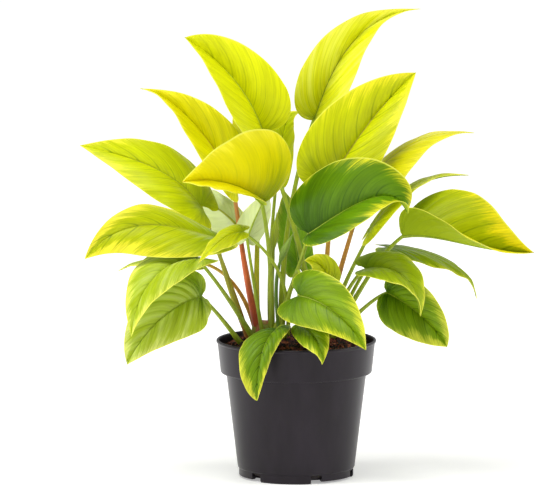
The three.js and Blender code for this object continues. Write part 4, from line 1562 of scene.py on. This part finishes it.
@dataclass
class NurseryPot:
    """The pot: one thin moulded shell with a lip bead, a stepped collar and a castellated foot ring.

    Attributes:
        height: height of the rim.
        rim: radius of the lip bead.
        collar_top: radius of the collar under the bead.
        collar_foot: radius of the collar's lower edge.
        collar_height: height of the collar.
        shoulder: radius of the body under the collar.
        body_foot: radius of the body over the foot ring.
        foot: radius of the foot ring.
        foot_height: height of the foot ring.
        wall: thickness of the wall.
        floor: height of the floor's upper side.
        under: height of the floor's lower side.
        pad: radius of the flat pad under the floor.
        ring: width of the foot ring's lower edge.
        ease: rounding of the foot ring's outer edge.
        stretches: stretches of the foot ring that the pot stands on.
        turn: direction of the first raised stretch between them, in degrees.
        arc: angle that a raised stretch takes up, in degrees.
        raised: height of a raised stretch over the ground.
        notch: length, width and height of a drain notch, one at each end of a raised stretch.
        segments: steps of the turn.
    """

    height: float = 121
    rim: float = 70
    collar_top: float = 69
    collar_foot: float = 66.3
    collar_height: float = 29
    shoulder: float = 61.4
    body_foot: float = 51.3
    foot: float = 50.2
    foot_height: float = 8.6
    wall: float = 1.6
    floor: float = 4.4
    under: float = 2.6
    pad: float = 14
    ring: float = 2.4
    ease: float = 1.2
    stretches: int = 3
    turn: float = -42
    arc: float = 55
    raised: float = 1.8
    notch: tuple[float, float, float] = (12, 10, 7.4)
    segments: int = 144

    def profile(self) -> list[tuple[float, float]]:
        """The turned outline, from the axis under the floor round to the axis over it."""
        step = self.height - self.collar_height
        inner_ring = self.foot - self.ease - self.ring
        bead = self.height - 2.2
        corners = [
            (0, 0, 0), (self.pad, 0, 0.4), (self.pad + 1, self.under, 0.6), (inner_ring - 0.5, self.under, 0.6),
            (inner_ring, 0, 0.4), (self.foot - self.ease, 0, 0), (self.foot, self.ease, 0.5),
            (self.foot, self.foot_height - 0.7, 0.4), (self.body_foot, self.foot_height, 0.7),
            (self.shoulder, step - 0.4, 0.8), (self.collar_foot - 0.9, step, 0.5), (self.collar_foot, step + 1.0, 0.7),
            (self.collar_top, bead - 0.6, 0.5), (self.rim, bead + 0.1, 0.6), (self.rim, self.height, 0.9),
            (self.rim - 2.2, self.height, 0.7), (self.collar_top - self.wall, bead, 0.6),
            (self.collar_foot - self.wall, step + 2.2, 0.8), (self.shoulder - self.wall, step, 0.8),
            (self.body_foot - self.wall, self.floor + 2, 1.2), (self.body_foot - self.wall - 2, self.floor, 1.0),
            (0, self.floor, 0),
        ]
        return rounded([(r, z) for r, z, _ in corners], [e for _, _, e in corners])

    def cutters(self) -> bpy.types.Object:
        """The spaces of the drain notches, one at each end of each raised stretch of the foot ring."""
        work = bmesh.new()
        length, width, height = self.notch
        for i in range(self.stretches):
            middle = self.turn + i * 360 / self.stretches
            for angle in (middle - self.arc / 2, middle + self.arc / 2):
                place = Matrix.Rotation(math.radians(angle), 4, "Z") @ Matrix.Translation((self.foot * MM, 0, 0))
                size = Matrix.Diagonal((length * MM, width * MM, 2 * height * MM, 1))
                bmesh.ops.create_cube(work, size=1.0, matrix=place @ size)
        mesh = bpy.data.meshes.new("drain_notches")
        work.to_mesh(mesh)
        work.free()
        return stand("drain_notches", mesh)

    def sector(self, middle: float) -> bpy.types.Object:
        """The space under one raised stretch of the foot ring."""
        half, steps = self.arc / 2, 12
        inner, outer = self.foot - self.notch[0] / 2, self.foot + self.notch[0] / 2
        points = []
        for height in (-self.raised, self.raised):
            for radius in (inner, outer):
                for k in range(steps + 1):
                    angle = math.radians(middle - half + 2 * half * k / steps)
                    points.append((radius * math.cos(angle), radius * math.sin(angle), height))
        n = steps + 1
        faces = [[0, n, 3 * n, 2 * n], [n - 1, 3 * n - 1, 4 * n - 1, 2 * n - 1]]
        for k in range(steps):
            faces += [
                [k, k + 1, n + k + 1, n + k],
                [2 * n + k, 3 * n + k, 3 * n + k + 1, 2 * n + k + 1],
                [k, 2 * n + k, 2 * n + k + 1, k + 1],
                [n + k, n + k + 1, 3 * n + k + 1, 3 * n + k],
            ]
        return mesh_object("raised_stretch", np.array(points), faces)

    def build(self) -> None:
        """Builds the pot."""
        thing = turned("nursery_pot", self.profile(), self.segments)
        tools = [self.cutters(), *(self.sector(self.turn + i * 360 / self.stretches) for i in range(self.stretches))]
        for tool in tools:
            cut = thing.modifiers.new(tool.name, "BOOLEAN")
            cut.operation = "DIFFERENCE"
            cut.solver = "EXACT"
            cut.object = tool
        thing = freeze(thing)
        for tool in tools:
            bpy.data.objects.remove(tool)
        thing.data.materials.clear()
        thing.data.materials.append(MouldedPolypropylene().material())
        smooth(thing, 40)
        settle(thing, "pot_plastic", "pot")


# ---- Studio ------------------------------------------------------------------------------------


@dataclass
class Studio:
    """A wide pale floor, soft lights and the camera.

    Attributes:
        aim: the point that the camera looks at.
        distance: how far the camera stands from it.
        elevation: the camera's height over the horizon, in degrees.
        lens: its focal length on a 36 mm sensor.
        reach: the floor's half side, so wide that the camera sees only floor from any side.
        sky: strength of the even light from all around.
        lamps: name, place, size and power in watts of each soft box.
    """

    aim: Point = (-23, 0, 202)
    distance: float = 7400
    elevation: float = 7.9
    lens: float = 564
    reach: float = 20000
    sky: float = 0.32
    lamps: tuple[tuple[str, Point, tuple[float, float], float], ...] = (
        ("soft_box_top", (-300, -500, 1500), (1000, 900), 17.5),
        ("soft_box_left", (-1300, -350, 450), (400, 1200), 8),
        ("soft_box_right", (1300, -250, 420), (400, 1200), 7),
        ("soft_box_back", (300, 1300, 1100), (1200, 700), 4),
    )

    def floor(self) -> None:
        """Builds the floor."""
        drop = -0.05
        points = [(x * self.reach, y * self.reach, drop) for x, y in ((-1, -1), (1, -1), (1, 1), (-1, 1))]
        thing = mesh_object("studio_floor", np.array(points), [[0, 1, 2, 3]])
        made, tree, shader, solid = start_material("studio paper, matt white")
        tooth = add(tree, "ShaderNodeTexNoise", {"Vector": solid, "Scale": 900.0})
        colour = add(
            tree,
            "ShaderNodeMix",
            {0: tooth.outputs["Fac"], 6: linear("#F7F7F5"), 7: linear("#FBFBFA")},
            data_type="RGBA",
        ).outputs[2]
        # The paper glows a little away from the plant, so that it stays as white as it is under the lamps.
        far = add(tree, "ShaderNodeVectorMath", {0: solid}, operation="LENGTH").outputs["Value"]
        glow = add(tree, "ShaderNodeMapRange", {0: far, 1: 0.25, 2: 1.7, 3: 0.34, 4: 0.74})
        finish = {
            "Base Color": colour,
            "Roughness": 0.9,
            "Specular IOR Level": 0.2,
            "Emission Color": (1, 1, 1, 1),
            "Emission Strength": glow,
        }
        feed(tree, shader, finish)
        thing.data.materials.append(made)

    def light(self, name: str, place: Point, size: tuple[float, float], watts: float) -> None:
        """Hangs a soft box that faces the plant.

        Args:
            name: the light's name.
            place: its middle.
            size: its width and height.
            watts: its power.
        """
        data = bpy.data.lights.new(name, "AREA")
        data.shape = "RECTANGLE"
        data.size, data.size_y = size[0] * MM, size[1] * MM
        data.energy = watts
        thing = stand(name, data)
        thing.location = Vector(place) * MM
        thing.rotation_mode = "QUATERNION"
        thing.rotation_quaternion = (Vector(self.aim) * MM - thing.location).to_track_quat("-Z", "Y")

    def build(self) -> None:
        """Sets the whole studio up."""
        self.floor()
        world = bpy.data.worlds.new("studio")
        world.use_nodes = True
        feed(world.node_tree, world.node_tree.nodes["Background"], {"Color": (1, 1, 1, 1), "Strength": self.sky})
        bpy.context.scene.world = world
        for lamp in self.lamps:
            self.light(*lamp)
        scene = bpy.context.scene
        scene.view_settings.view_transform = "Standard"
        data = bpy.data.cameras.new("camera")
        data.lens = self.lens
        data.sensor_width = 36
        data.clip_start, data.clip_end = 0.05, 30
        camera = stand("camera", data)
        tilt = math.radians(self.elevation)
        back = Vector((0, -math.cos(tilt), math.sin(tilt)))
        camera.location = (Vector(self.aim) + back * self.distance) * MM
        camera.rotation_mode = "QUATERNION"
        camera.rotation_quaternion = (-back).to_track_quat("-Z", "Y")
        scene.camera = camera


CROWNS = (
    Crown("crown_left", (-29, 1), 11, 137),
    Crown("crown_right", (21, -1), 9.5, 135),
)


def main() -> None:
    """Builds the studio and the plant."""
    logging.basicConfig(level=logging.INFO, format="%(message)s")
    Studio().build()
    NurseryPot().build()
    Compost().build()
    for crown in CROWNS:
        crown.build()
    Foliage().build()


if __name__ == "__main__":
    main()
